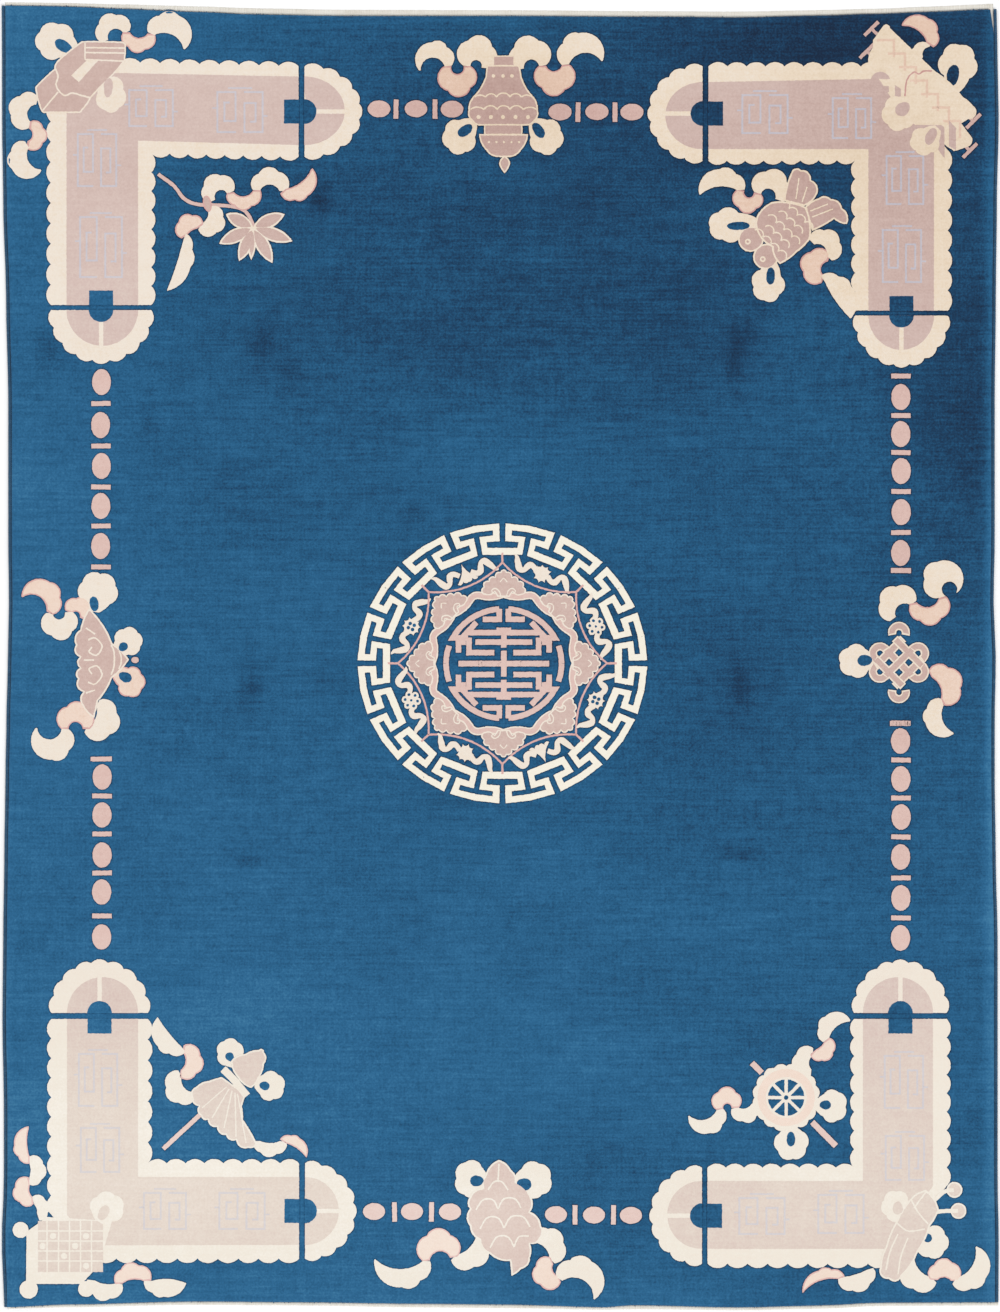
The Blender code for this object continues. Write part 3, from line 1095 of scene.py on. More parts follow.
def endless_knot():
    middle = (899, 662.5)

    def at(p, q, *rest):
        """A place on the knot's two slanting ways."""
        return (middle[0] + (p + q) * math.sqrt(0.5), middle[1] + (p - q) * math.sqrt(0.5), *rest)

    def strand(line, layer):
        lay_edged("clay", "cream", layer, line, 1.4)

    def loop(p, q, angle):
        """Half a turn that joins two neighbouring strands."""
        turns = [math.radians(angle + 18 * k) for k in range(-6, 7)]
        points = [at(p + 7 * math.cos(t), q + 7 * math.sin(t)) for t in turns]
        return stroke(points, 8.2)

    for k, place in enumerate((-14, 0, 14)):
        strand(stroke([at(place, -20), at(place, 20)], 8.2, smooth=False), 1 + 2 * (k % 2))
        strand(stroke([at(-20, place), at(20, place)], 8.2, smooth=False), 3 - 2 * (k % 2))
    for p, q, angle in (
        (-20, -7, 180), (20, 7, 0), (-7, -20, 270), (7, 20, 90), (-21, 21, 135), (21, -21, 315),
    ):
        strand(loop(p, q, angle), 2)
    ribbon("cream", (893, 619), ((913.5, 603, 26, 7), (942.5, 597, -23, -7), (957, 592.5, 35, 13)))
    bow((873, 659), (856, 661), 17, 16, (864, 660.5, 6.5, 5.5, 0), layer=1)
    ribbon("peach", (930, 674), ((942.5, 702, 25, 4), (953.5, 733, -23, -6)))
    for y, x in ((570.5, 901), (723.5, 900)):
        lay("blush", 0, stroke([(x - 10, y), (x + 10, y)], 4.8, smooth=False), painted_shade=True)


def fruit():
    body = [
        (498.5, 1160, 0.12), (511, 1170, 0.16), (516, 1182, 0.12), (531, 1197, 0.16), (530, 1212, 0.16),
        (541, 1226, 0.2),
        (540, 1239, 0.2), (530, 1244, 0.1), (530, 1258, 0.2), (521, 1269, 0.06), (511.5, 1276, 0),
        (510, 1261, 0.12),
        (490, 1254, 0.16), (479.5, 1240, 0.16), (470, 1226, 0.2), (470, 1209, 0.2), (470, 1197, 0.16),
        (483, 1188, 0.16),
        (485, 1176, 0.12),
    ]
    lay_edged("clay", "cream", 3, outline(body), 1.8)
    for line in (
        ((488, 1190), (494, 1182), (502, 1182), (508, 1190)),
        ((476, 1210), (483, 1200), (493, 1200), (498, 1209)),
        ((498, 1209), (504, 1199), (515, 1199), (521, 1208)),
        ((480, 1229), (487, 1218), (498, 1218), (504, 1228)),
        ((504, 1228), (511, 1217), (523, 1217), (530, 1227)),
        ((490, 1248), (497, 1237), (508, 1237), (514, 1247)),
        ((514, 1247), (519, 1237), (529, 1236)), ((499, 1164), (498, 1182)),
    ):
        lay("cream", 5, stroke(list(line), 1.6))
    bow((487, 1180), (471, 1179), 15.5, 19, (476, 1181, 6, 5.5, 0), layer=1)
    bow((514, 1182), (534, 1180), 17.5, 18, (525, 1184.5, 6.5, 6, 0), layer=1)
    ribbon("cream", (479, 1233), ((453.5, 1257.5, 23, 4), (426.5, 1261, -28, -8), (375, 1259.5, 27, 9)))
    ribbon("cream", (532, 1240), ((552, 1261, 23, 4), (559.5, 1279, -22, -3), (594, 1299, 31, 11)))


def wheel():
    x, y = 786.2, 1097.6
    for line in (((752, 1063), (762, 1073)), ((812, 1122), (836, 1146))):
        lay("blush", 1, stroke(list(line), 6, smooth=False), painted_shade=True)
    turns = [math.radians(22.5 * k) for k in range(16)]
    cusps = [(x + 31.6 * math.cos(a), y + 31.6 * math.sin(a), 0.24) for a in turns]
    lay("cream", 2, outline(cusps), painted_shade=True)
    lay("peach", 3, ellipse(x, y, 28.5, 28.5))
    lay("cream", 4, ellipse(x, y, 20.5, 20.5))
    lay("blue", 5, ellipse(x, y, 18.2, 18.2))
    for k in range(8):
        way = math.radians(45 * k)
        lay("cream", 6, stroke([(x, y), (x + 19 * math.cos(way), y + 19 * math.sin(way))], 3.3, smooth=False))
    lay("cream", 7, ellipse(x, y, 5.2, 5.2))
    lay("blue", 8, ellipse(x, y, 2.3, 2.3))
    bow((815, 1105), (832.5, 1106), 13.8, 16.5, (826, 1105, 5, 4.6, 0), layer=1)
    bow((790, 1127), (791.5, 1143), 16.5, 17, (791, 1140, 4.2, 6.5, 0), layer=1)
    ribbon("cream", (811, 1073), ((813, 1052, 18, 3), (826.5, 1040, -15, -1), (850, 1021, 19, 4)))
    ribbon("cream", (755, 1103), ((735, 1108, 16, 3), (720, 1109.5, -20, -5), (689, 1116, 21, 7)))


def parasol():
    lay("blush", 1, stroke([(163, 1149), (202, 1113)], 4.6, smooth=False), painted_shade=True)
    skirt = [
        (196, 1087, 0.1), (209, 1081, 0.03), (222, 1077, 0), (246, 1094, 0.0), (242, 1106, 0.03),
        (243, 1120, 0.03), (257, 1144, 0.2),
        (248, 1148, 0.25), (236, 1140, 0.25), (226, 1135, 0.25), (217, 1127, 0.25), (208, 1120, 0.25),
        (201, 1116, 0.25),
        (199, 1106, 0.25), (192, 1098, 0.25),
    ]
    lay_edged("rose", "cream", 2, outline(skirt), 1.7)
    for x, y in ((202, 1108), (212, 1118), (224, 1128), (236, 1137), (246, 1143)):
        lay(
            "cream", 4,
            stroke([(232 + (x - 224) * 0.25, 1090 + (y - 1124) * 0.2), (x, y)], 1.3, smooth=False),
        )
    crown = [
        (231, 1061, 0.12), (245, 1054, 0.08), (259, 1050, 0.4), (264, 1052, 0.2), (264, 1064, 0.08),
        (259, 1078, 0.1), (251, 1088, 0.1), (238, 1078, 0.1),
    ]
    lay_edged("rose", "cream", 6, outline(crown), 1.7)
    lay("cream", 5, stroke([(223, 1069), (234, 1080), (247, 1096)], 7.5))
    bow((236, 1066), (230, 1053), 13, 14.5, (229.5, 1056.5, 4.2, 4.2, 0), layer=1)
    bow((255, 1083), (270.5, 1086), 14, 14.5, (265, 1086, 4.6, 4.4, 0), layer=1)
    ribbon("cream", (193, 1095), ((180, 1073.5, 21, 4), (183, 1049, -20, -4), (158, 1018, 18, 1)))
    ribbon("cream", (257, 1141), ((283, 1141.5, -14, -2), (306, 1157, 12, 2)))


def game_board():
    frame_path = [
        (47, 1217, 0), (112, 1221, 0), (99.5, 1264, 0), (82, 1284, 0), (26, 1284, 0), (26.5, 1232, 0),
    ]
    for x, y, size in ((20.5, 1230, 8), (28.7, 1289.5, 9.2), (86, 1289, 8)):
        lay("cream", 1, ellipse(x, y, size, size), painted_shade=True)
    lay("cream", 3, outline(frame_path), painted_shade=True)
    tray = [(38, 1221, 0), (103, 1221, 0), (103, 1272, 0), (38, 1272, 0)]
    lay("rose", 4, outline(tray))
    for x in (47, 58.5, 69.5, 80.5, 91.5):
        lay("cream", 5, stroke([(x, 1221), (x, 1272)], 1.5, smooth=False))
    for y in (1231, 1241, 1251, 1261):
        lay("cream", 5, stroke([(38, y), (103, y)], 1.5, smooth=False))
    for x, y in ((53, 1236), (75, 1246), (64, 1256), (86, 1236), (86, 1266), (42.5, 1246)):
        lay("cream", 6, ellipse(x, y, 3.2, 3.2))
    bow((99, 1222), (107, 1208), 17, 15.5, (104, 1212, 5, 7, 30), hole_yarn="rose", layer=5)
    ribbon(
        "cream", (38, 1217),
        ((33, 1200.5, -13, -1), (29.5, 1181, 17, 2), (29.5, 1160, -15, -1), (28.7, 1127, 15, 2)),
    )
    ribbon("cream", (91, 1280), ((119, 1284, -17, -2), (147.5, 1281, 18, 3), (185.5, 1283, -15, 3)))


def lute():
    body = [
        (911, 1198, 0.08), (926, 1190, 0.1), (939, 1210, 0.05), (930, 1226, 0.05), (918, 1252, 0.06),
        (902, 1276, 0.3), (889, 1279, 0.3),
        (880, 1268, 0.06), (886, 1246, 0.04), (896, 1222, 0.04),
    ]
    lay_edged("rose", "cream", 4, outline(body), 1.8)
    for line in (
        ((886, 1270), (890, 1252), (898, 1234)), ((898, 1274), (901, 1256), (908, 1238)),
        ((897, 1223), (908, 1231), (925, 1229)),
        ((911, 1199), (918, 1212), (928, 1224)), ((926, 1192), (914, 1208)),
    ):
        lay("cream", 6, stroke(list(line), 1.6))
    lay_edged("rose", "cream", 2, ellipse(954.5, 1190, 8, 8), 1.7)
    lay_edged("rose", "cream", 2, ellipse(958.5, 1211, 8, 8), 1.7)
    for line in (((954, 1190), (944, 1192), (932, 1203)), ((958, 1211), (946, 1211), (936, 1212))):
        lay("cream", 4, stroke(list(line), 4.0))
    bow((910, 1213), (896, 1206), 14, 15.5, (897.5, 1208, 4.6, 6.5, 10), hole_yarn="rose", layer=5)
    bow((920, 1233), (932, 1242), 16, 16.5, (927.5, 1238, 4.6, 4.4, 0), layer=1)
    ribbon("cream", (912, 1256), ((934, 1280, -23, -4), (954.5, 1281, 20, 3), (976, 1247, -25, -7)))
    ribbon("cream", (870, 1269), ((841.5, 1278, 17, 1), (803, 1292.5, -15, -5)))


def draw_design():
    for row in BRACKETS:
        bracket(row)
    for row in PANEL_ORNAMENTS:
        key_ornament(*row)
    for row in BEAD_STRINGS:
        bead_string(*row)
    fret_ring()
    star_line()
    cloud_ring()
    fret_roundel()
    for number in range(8):
        small_emblem(number)
    for figure in (
        vase, books, lotus, scrolls, fish, conch, endless_knot, fruit, wheel, parasol, game_board, lute,
    ):
        figure()


# Lighter and darker places, all painted shading: darker towards the top right, lighter towards the left and
# the bottom, small dark smudges where the nap is pressed, and lighter strips along the rims. Columns: middle
# x and y and half sizes on the chart, change of tone
BLUE_SHADING = (
    (60, 60, 170, 130, 0.30), (30, 500, 110, 420, 0.32), (60, 1180, 260, 170, 0.34),
    (500, 1300, 520, 26, 0.25),
    (930, 60, 230, 150, -0.62), (975, 420, 80, 170, -0.55), (730, 60, 160, 90, -0.30),
    (600, 330, 240, 110, -0.10),
    (500, 10, 520, 9, 0.20), (991, 660, 6, 900, 0.75), (5, 660, 5, 900, 0.30), (950, 1200, 80, 160, 0.12),
    (262, 345, 12, 26, -0.42), (290, 372, 11, 22, -0.30), (318, 200, 8, 14, -0.5), (735, 356, 9, 32, -0.45),
    (748, 330, 8, 22, -0.30), (250, 688, 13, 30, -0.40), (740, 685, 13, 30, -0.40), (246, 858, 26, 8, -0.35),
    (740, 852, 28, 8, -0.35), (410, 512, 16, 12, -0.25), (48, 350, 16, 26, -0.40), (150, 420, 8, 40, -0.15),
    (200, 1010, 120, 30, 0.15), (520, 1060, 160, 40, 0.10), (640, 250, 120, 20, 0.12),
    (560, 230, 400, 210, -0.34), (300, 1090, 420, 220, 0.22), (220, 760, 180, 230, 0.14),
    (760, 690, 160, 120, -0.24),
    (500, 450, 130, 50, 0.24), (520, 900, 220, 110, 0.10),
)
PALE_SHADING = (
    (210, 140, 330, 150, -0.10), (900, 160, 260, 220, -0.55), (120, 1180, 330, 190, 0.70),
    (880, 1180, 330, 190, 0.50),
    (505, 110, 120, 90, -0.45), (500, 1220, 160, 70, 0.35), (502, 663, 100, 95, 0.10),
    (900, 640, 90, 120, -0.25),
)
SHADING_TABLES = {"blue": BLUE_SHADING}


def painted_shading(yarn, x, y):
    """The painted light and shade at points, from the chart's tables."""
    chart_x = x / SQUARE + CHART_MIDDLE_X
    chart_y = CHART_MIDDLE_Y - y / SQUARE
    total = np.zeros(len(chart_x))
    for middle_x, middle_y, half_x, half_y, change in SHADING_TABLES.get(yarn, PALE_SHADING):
        total += change * np.exp(-((chart_x - middle_x) / half_x) ** 2 - ((chart_y - middle_y) / half_y) ** 2)
    return total


class Cloth:
    """Vertices and faces of one piece, gathered before its mesh is made."""

    def __init__(self):
        self.points = []
        self.tone = []
        self.painted_shade = []
        self.faces = []

    def add(self, points, faces, tone, painted_shade):
        start = len(self.points)
        self.points += [tuple(p) for p in points]
        self.tone += list(tone)
        self.painted_shade += list(painted_shade)
        self.faces += [tuple(start + k for k in face) for face in faces]

    def make(self, name, material):
        mesh = bpy.data.meshes.new(name)
        mesh.from_pydata(self.points, [], self.faces)
        for attribute, values in (("tone", self.tone), ("painted_shade", self.painted_shade)):
            layer = mesh.attributes.new(attribute, "FLOAT", "POINT")
            layer.data.foreach_set("value", np.array(values, np.float32))
        add_flat_uv(mesh)
        mesh.materials.append(material)
        mesh.shade_smooth()
        obj = bpy.data.objects.new(name, mesh)
        bpy.context.scene.collection.objects.link(obj)
        return obj


def add_flat_uv(mesh):
    """UVs that look straight down on the carpet."""
    uv = mesh.uv_layers.new(name="OFBake")
    corners = np.zeros(len(mesh.loops), np.int32)
    mesh.loops.foreach_get("vertex_index", corners)
    places = np.zeros(len(mesh.vertices) * 3, np.float32)
    mesh.vertices.foreach_get("co", places)
    places = places.reshape(-1, 3)[corners]
    u = (places[:, 0] - LOW.x) / RUG_WIDTH * 0.98 + 0.01
    v = (places[:, 1] - LOW.y) / RUG_LENGTH * 0.98 + 0.01
    uv.data.foreach_set("uv", np.stack((u, v), axis=1).astype(np.float32).ravel())


def to_world(points):
    chart = np.array([p[:2] for p in points])
    return np.stack(
        ((chart[:, 0] - CHART_MIDDLE_X) * SQUARE, (CHART_MIDDLE_Y - chart[:, 1]) * SQUARE), axis=1,
    )


def tidy_ring(ring):
    """The ring counterclockwise, without points that nearly coincide."""
    apart = np.linalg.norm(ring - np.roll(ring, 1, axis=0), axis=1)
    ring = ring[apart > POINTS_APART]
    after = np.roll(ring, -1, axis=0)
    area = np.sum(ring[:, 0] * after[:, 1] - after[:, 0] * ring[:, 1])
    return ring if area > 0 else ring[::-1]


def inside(ring, x, y):
    hits = np.zeros(len(x), bool)
    ax, ay = ring[:, 0], ring[:, 1]
    bx, by = np.roll(ax, -1), np.roll(ay, -1)
    for x0, y0, x1, y1 in zip(ax, ay, bx, by):
        crosses = (y0 > y) != (y1 > y)
        if crosses.any():
            at_x = x0 + (y - y0) * (x1 - x0) / (y1 - y0 if y1 != y0 else 1e-12)
            hits ^= crosses & (x < at_x)
    return hits


def inner_grid(ring):
    """Points of the common grid that lie well inside a ring."""
    low = np.floor(ring.min(axis=0) / PATCH_CELL).astype(int)
    high = np.ceil(ring.max(axis=0) / PATCH_CELL).astype(int)
    xs, ys = np.meshgrid(
        np.arange(low[0], high[0] + 1) * PATCH_CELL, np.arange(low[1], high[1] + 1) * PATCH_CELL,
    )
    xs = xs.ravel()
    ys = ys.ravel()
    kept = inside(ring, xs, ys)
    xs, ys = xs[kept], ys[kept]
    if not len(xs):
        return np.zeros((0, 2))
    apart = np.hypot(xs[:, None] - ring[None, :, 0], ys[:, None] - ring[None, :, 1]).min(axis=1)
    kept = apart > GRID_CLEARANCE
    return np.stack((xs[kept], ys[kept]), axis=1)


def triangles_of(ring, extra):
    """Vertices and upward triangles that fill a ring."""
    points = [Vector(p) for p in ring] + [Vector(p) for p in extra]
    made = delaunay_2d_cdt(points, [], [list(range(len(ring)))], 1, 1e-7)
    flat = np.array([tuple(v) for v in made[0]])
    faces = []
    for face in made[2]:
        a, b, c = (flat[k] for k in face[:3])
        turn = (b[0] - a[0]) * (c[1] - a[1]) - (b[1] - a[1]) * (c[0] - a[0])
        if abs(turn) < 1e-10:
            continue
        faces.append(tuple(face) if turn > 0 else tuple(reversed(face)))
    return flat, faces


def build_patches():
    """Every patch as a sheet on the pile, with a short wall round it and its reverse side underneath."""
    cloths = {}
    ground_over = Cloth()
    cloths["painted_shade"] = ground_over
    for number, (yarn, layer, points, painted_shade) in enumerate(patches):
        cloth = cloths.setdefault(yarn, Cloth())
        ring = to_world(points)
        wobble = np.array([(rng.gauss(0, WOBBLE), rng.gauss(0, WOBBLE)) for _ in ring])
        ring = tidy_ring(ring + wobble)
        if len(ring) < 3:
            continue
        flat, faces = triangles_of(ring, inner_grid(ring))
        if not faces:
            continue
        lift = BASE_LIFT + LAYER_LIFT * layer + PATCH_LIFT * (number % PATCH_CYCLE)
        z = surface(flat[:, 0], flat[:, 1]) + lift
        tone = painted_shading(yarn, flat[:, 0], flat[:, 1])
        cloth.add(np.column_stack((flat, z)), faces, tone, np.zeros(len(flat)))
        n = len(ring)
        rim_z = surface(ring[:, 0], ring[:, 1])
        rim_tone = painted_shading(yarn, ring[:, 0], ring[:, 1])
        wall = np.concatenate((
            np.column_stack((ring, rim_z + lift)), np.column_stack((ring, rim_z + lift - SKIRT)),
        ))
        wall_faces = [(k, k + n, (k + 1) % n + n, (k + 1) % n) for k in range(n)]
        cloth.add(wall, wall_faces, np.tile(rim_tone, 2), np.zeros(2 * n))
        below, below_faces = triangles_of(ring, [])
        depth = UNDERSIDE - UNDER_LAYER_STEP * (layer + 1) - UNDER_PATCH_STEP * (number % PATCH_CYCLE)
        reverse = [tuple(reversed(face)) for face in below_faces]
        cloth.add(
            np.column_stack((below, np.full(len(below), depth))), reverse,
            painted_shading(yarn, below[:, 0], below[:, 1]), np.zeros(len(below)),
        )
        # Cut-down figures get a ring of painted shade round them.
        if painted_shade:
            painted_shade_ring(ground_over, ring)
    return cloths


def painted_shade_ring(cloth, ring):
    """The dark line where the pile is cut down round a figure: a thin sloping ring, its darkness painted
    shade.
    """
    n = len(ring)
    ahead = np.roll(ring, -1, axis=0) - np.roll(ring, 1, axis=0)
    ahead /= np.maximum(np.linalg.norm(ahead, axis=1, keepdims=True), 1e-9)
    outward = np.stack((ahead[:, 1], -ahead[:, 0]), axis=1)
    outer = ring + outward * CARVED_WIDTH * SQUARE
    inner_z = surface(ring[:, 0], ring[:, 1]) + CARVED_LIFT
    outer_z = surface(outer[:, 0], outer[:, 1]) - CARVED_FOOT
    points = np.concatenate((np.column_stack((ring, inner_z)), np.column_stack((outer, outer_z))))
    faces = [(k, k + n, (k + 1) % n + n, (k + 1) % n) for k in range(n)]
    tone = np.concatenate((painted_shading("blue", ring[:, 0], ring[:, 1]), painted_shading("blue", outer[:, 0], outer[:, 1])))
    cloth.add(points, faces, tone, np.concatenate((np.ones(n), np.zeros(n))))


def rim_shares(length, cell):
    near = [row[0] * MM / length for row in RIM_DROP]
    inner = near[-1]
    cells = round(length * (1 - 2 * inner) / cell)
    even = [inner + (1 - 2 * inner) * k / cells for k in range(cells + 1)]
    return np.array(near[:-1] + even + [1 - share for share in reversed(near[:-1])])


BOTH_CORDS = 20 * MM
FOOT_SHADE = 0.4


def make_ground(material):
    """The indigo pile with its sides and reverse, as one closed cloth."""
    cloth = Cloth()
    across = rim_shares(RUG_WIDTH - BOTH_CORDS, GROUND_CELL)
    along = rim_shares(RUG_LENGTH, GROUND_CELL)
    columns = len(across)
    rows = len(along)
    guess = left_rim(0.0) + (right_rim(0.0) - left_rim(0.0)) * across
    top = top_rim(guess)
    bottom = bottom_rim(guess)
    y = top[None, :] + (bottom - top)[None, :] * along[:, None]
    left = left_rim(y)
    right = right_rim(y)
    x = left + (right - left) * across[None, :]
    z = surface(x, y)
    flat_x = x.ravel()
    flat_y = y.ravel()
    faces = []
    for j in range(rows - 1):
        for i in range(columns - 1):
            a = j * columns + i
            faces.append((a, a + columns, a + columns + 1, a + 1))
    cloth.add(
        np.column_stack((flat_x, flat_y, z.ravel())), faces, painted_shading("blue", flat_x, flat_y),
        np.zeros(len(flat_x)),
    )
    rim = list(range(columns - 1))
    rim += [j * columns + columns - 1 for j in range(rows - 1)]
    rim += [(rows - 1) * columns + i for i in range(columns - 1, 0, -1)]
    rim += [j * columns for j in range(rows - 1, 0, -1)]
    low = [(flat_x[k], flat_y[k], UNDERSIDE) for k in rim]
    start = len(cloth.points)
    rim_tone = [cloth.tone[k] for k in rim]
    # The foot of the sides is darkened with painted shade.
    cloth.add(low, [], rim_tone, [FOOT_SHADE] * len(low))
    n = len(rim)
    for k in range(n):
        after = (k + 1) % n
        cloth.faces.append((rim[k], rim[after], start + after, start + k))
    cloth.faces.append(tuple(start + k for k in range(n)))
    return cloth.make("pile_ground", material)


# The woven ends and the wrapped sides

WEB_TOP = 3.0 * MM
WARP_PITCH = 4.4 * MM
WARP_RIB = 0.5 * MM
WEB_ROWS = 6
WEB_SIDE_GAP = 0.5 * MM
WEB_BASE = 0.3 * MM
WEB_PILE_GAP = 0.3 * MM
WEB_EDGE_INSET = 0.6 * MM
WEB_EDGE_SPREAD = 0.5 * MM
WEB_EDGE_ROUNDING = 1.2 * MM
WRAP_PITCH = 5.2 * MM
WRAP_STEPS = 3
WRAP_END_GAP = 0.3 * MM
CORD_HALF = 4.5 * MM
CORD_FOOT = 0.05 * MM
WRAP_RISE = 0.35 * MM
CORD_SIDES = 12


def make_web(cloth, end):
    """One plain woven end of cotton: a thin closed strip with a rib for each pair of warps."""
    pile = top_rim if end == "top" else bottom_rim
    web = TOP_WEB if end == "top" else BOTTOM_WEB
    outward = 1 if end == "top" else -1
    middle = (float(np.mean(web)) + float(np.mean(pile(ACROSS)))) / 2
    left = float(rim_line(BODY_TREE, [middle], WEB_LEVEL, "left")[0]) + WEB_SIDE_GAP
    right = float(rim_line(BODY_TREE, [middle], WEB_LEVEL, "right")[0]) - WEB_SIDE_GAP
    count = 2 * round((right - left) / WARP_PITCH)
    start = len(cloth.points)
    rows = WEB_ROWS
    for k in range(count + 1):
        x = left + (right - left) * k / count
        uneven = WEB_EDGE_INSET + abs(rng.gauss(0, WEB_EDGE_SPREAD))
        outer = float(np.interp(x, ACROSS, web)) - outward * uneven
        inner = float(pile(x)) + outward * WEB_PILE_GAP
        rib = WARP_RIB if k % 2 else 0.0
        column = (
            (inner, WEB_BASE), (outer, WEB_BASE), (outer, WEB_TOP * 0.6),
            (outer - outward * WEB_EDGE_ROUNDING, WEB_TOP - rib),
            ((outer + inner) / 2, WEB_TOP - rib), (inner, WEB_TOP - rib * 0.5),
        )
        # The lower warps are darkened with painted shade.
        cloth.add([(x, y, z) for y, z in column], [], [rib / WARP_RIB] * rows, [0.0] * rows)
    for k in range(count):
        for j in range(rows):
            a = start + k * rows + j
            b = start + k * rows + (j + 1) % rows
            face = (a, b, b + rows, a + rows)
            cloth.faces.append(face if outward > 0 else face[::-1])
    first = tuple(start + j for j in range(rows))
    last = tuple(start + count * rows + j for j in range(rows))
    cloth.faces.append(first[::-1] if outward > 0 else first)
    cloth.faces.append(last if outward > 0 else last[::-1])


# The wool ends that hang over the cotton. A few reach further than the rest
TUFT_PITCH = 4.2 * MM
TUFT_CLEARANCE = 12 * MM
TUFT_ROOT = 3 * MM
TUFT_TOP = 7.5 * MM
TUFT_FOOT = 3.4 * MM
TUFT_TAPER = 0.7
LONG_TUFTS = 0.12


def make_tufts(cloth):
    """Wool ends that hang over the cotton at both ends of the pile, none the same."""
    for end, pile, outward in (("top", top_rim, 1), ("bottom", bottom_rim, -1)):
        count = round((RUG_WIDTH - 2 * TUFT_CLEARANCE) / TUFT_PITCH)
        for k in range(count):
            x = LOW.x + TUFT_CLEARANCE + TUFT_PITCH * (k + 0.5) + rng.uniform(-1.5, 1.5) * MM
            y = float(pile(x))
            reach = rng.uniform(0.5, 2.4) * MM + (rng.random() < LONG_TUFTS) * rng.uniform(1.0, 3.0) * MM
            half = rng.uniform(1.8, 3.2) * MM
            back = y - outward * TUFT_ROOT
            tip = (x + rng.uniform(-1.2, 1.2) * MM, y + outward * reach, rng.uniform(4.5, 6.5) * MM)
            points = [
                (x - half, back, TUFT_TOP), (x + half, back, TUFT_TOP),
                (x + half * TUFT_TAPER, back, TUFT_FOOT), (x - half * TUFT_TAPER, back, TUFT_FOOT), tip,
            ]
            faces = [(0, 1, 4), (1, 2, 4), (2, 3, 4), (3, 0, 4), (0, 3, 2, 1)]
            if outward > 0:
                faces = [face[::-1] for face in faces]
            # Each tuft has a random tone and a little painted shade.
            cloth.add(points, faces, [rng.uniform(-0.35, 0.25)] * 5, [0.15] * 5)


def make_overcast(cloth, node, inward):
    """The wool wrapped round a side's cord, one ridge for each turn."""
    tree = tree_of(node)
    low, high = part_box(node)
    height = high.z - low.z
    steps = round((high.y - low.y) / (WRAP_PITCH / WRAP_STEPS))
    start = len(cloth.points)
    way = "left" if inward > 0 else "right"
    length = high.y - low.y - 2 * WRAP_END_GAP
    stations = [low.y + WRAP_END_GAP + length * k / steps for k in range(steps + 1)]
    outer_line = rim_line(tree, stations, height / 2, way)
    for k, (y, outer) in enumerate(zip(stations, outer_line)):
        between = k % WRAP_STEPS == 0
        ridge = WRAP_RISE * (-1.0 if between else 0.5) + rng.gauss(0, 0.05 * MM)
        # The dips between turns are darkened with painted shade, on top of a random tone.
        tone = rng.uniform(-0.25, 0.25) - (0.35 if between else 0.0)
        middle_x = outer + inward * CORD_HALF
        ring = []
        for side in range(CORD_SIDES):
            angle = 2 * math.pi * (side + 0.5) / CORD_SIDES
            reach_x = CORD_HALF + ridge * 0.6
            reach_z = height / 2 + ridge * 0.6
            shift = (WRAP_PITCH / WRAP_STEPS) * 0.5 * math.sin(angle)
            ring.append((
                middle_x + reach_x * math.cos(angle), y + shift * 0.5,
                max(CORD_FOOT, height / 2 + reach_z * math.sin(angle)),
            ))
        cloth.add(ring, [], [tone] * CORD_SIDES, [0.0] * CORD_SIDES)
    for k in range(steps):
        for side in range(CORD_SIDES):
            after = (side + 1) % CORD_SIDES
            a = start + k * CORD_SIDES
            cloth.faces.append((a + side, a + after, a + CORD_SIDES + after, a + CORD_SIDES + side)[::-1])
    last = start + steps * CORD_SIDES
    cloth.faces.append(tuple(start + side for side in range(CORD_SIDES)))
    cloth.faces.append(tuple(last + side for side in reversed(range(CORD_SIDES))))


# Materials

def linear(colour):
    """A colour of 0 to 255 as the light that it stands for."""
    values = []
    for level in colour:
        share = level / 255
        values.append(share / 12.92 if share <= 0.04045 else ((share + 0.055) / 1.055) ** 2.4)
    return tuple(values)


LIGHT_LEVEL = 1.10

# Ramps of each yarn from its darkest tone to its lightest, as seen in the photo's light
YARN_RAMPS = {
    "blue": (
        (0.0, (6, 34, 62)), (0.25, (13, 60, 95)), (0.5, (26, 86, 126)), (0.72, (38, 101, 144)),
        (1.0, (60, 122, 162)),
    ),
    "cord": ((0.0, (22, 44, 66)), (0.5, (44, 82, 112)), (1.0, (96, 124, 142))),
    "clay": (
        (0.0, (170, 136, 128)), (0.3, (194, 164, 155)), (0.5, (206, 179, 170)), (0.8, (222, 202, 192)),
        (1.0, (232, 216, 206)),
    ),
    "cream": (
        (0.0, (214, 190, 160)), (0.3, (232, 214, 192)), (0.5, (237, 225, 211)), (0.75, (239, 231, 218)),
        (1.0, (248, 243, 234)),
    ),
    "white": ((0.0, (222, 206, 180)), (0.3, (236, 226, 206)), (0.5, (243, 237, 222)), (1.0, (252, 248, 238))),
    "peach": ((0.0, (206, 170, 148)), (0.3, (226, 196, 176)), (0.5, (236, 212, 196)), (1.0, (245, 230, 218))),
    "pink": ((0.0, (180, 128, 122)), (0.5, (217, 172, 166)), (1.0, (236, 204, 198))),
    "rose": (
        (0.0, (178, 146, 138)), (0.3, (202, 176, 168)), (0.5, (213, 190, 182)), (0.8, (227, 213, 201)),
        (1.0, (236, 225, 214)),
    ),
    "blush": ((0.0, (186, 148, 140)), (0.5, (219, 188, 179)), (1.0, (236, 214, 206))),
    "grey": ((0.0, (176, 172, 184)), (0.5, (204, 198, 204)), (1.0, (222, 216, 214))),
}


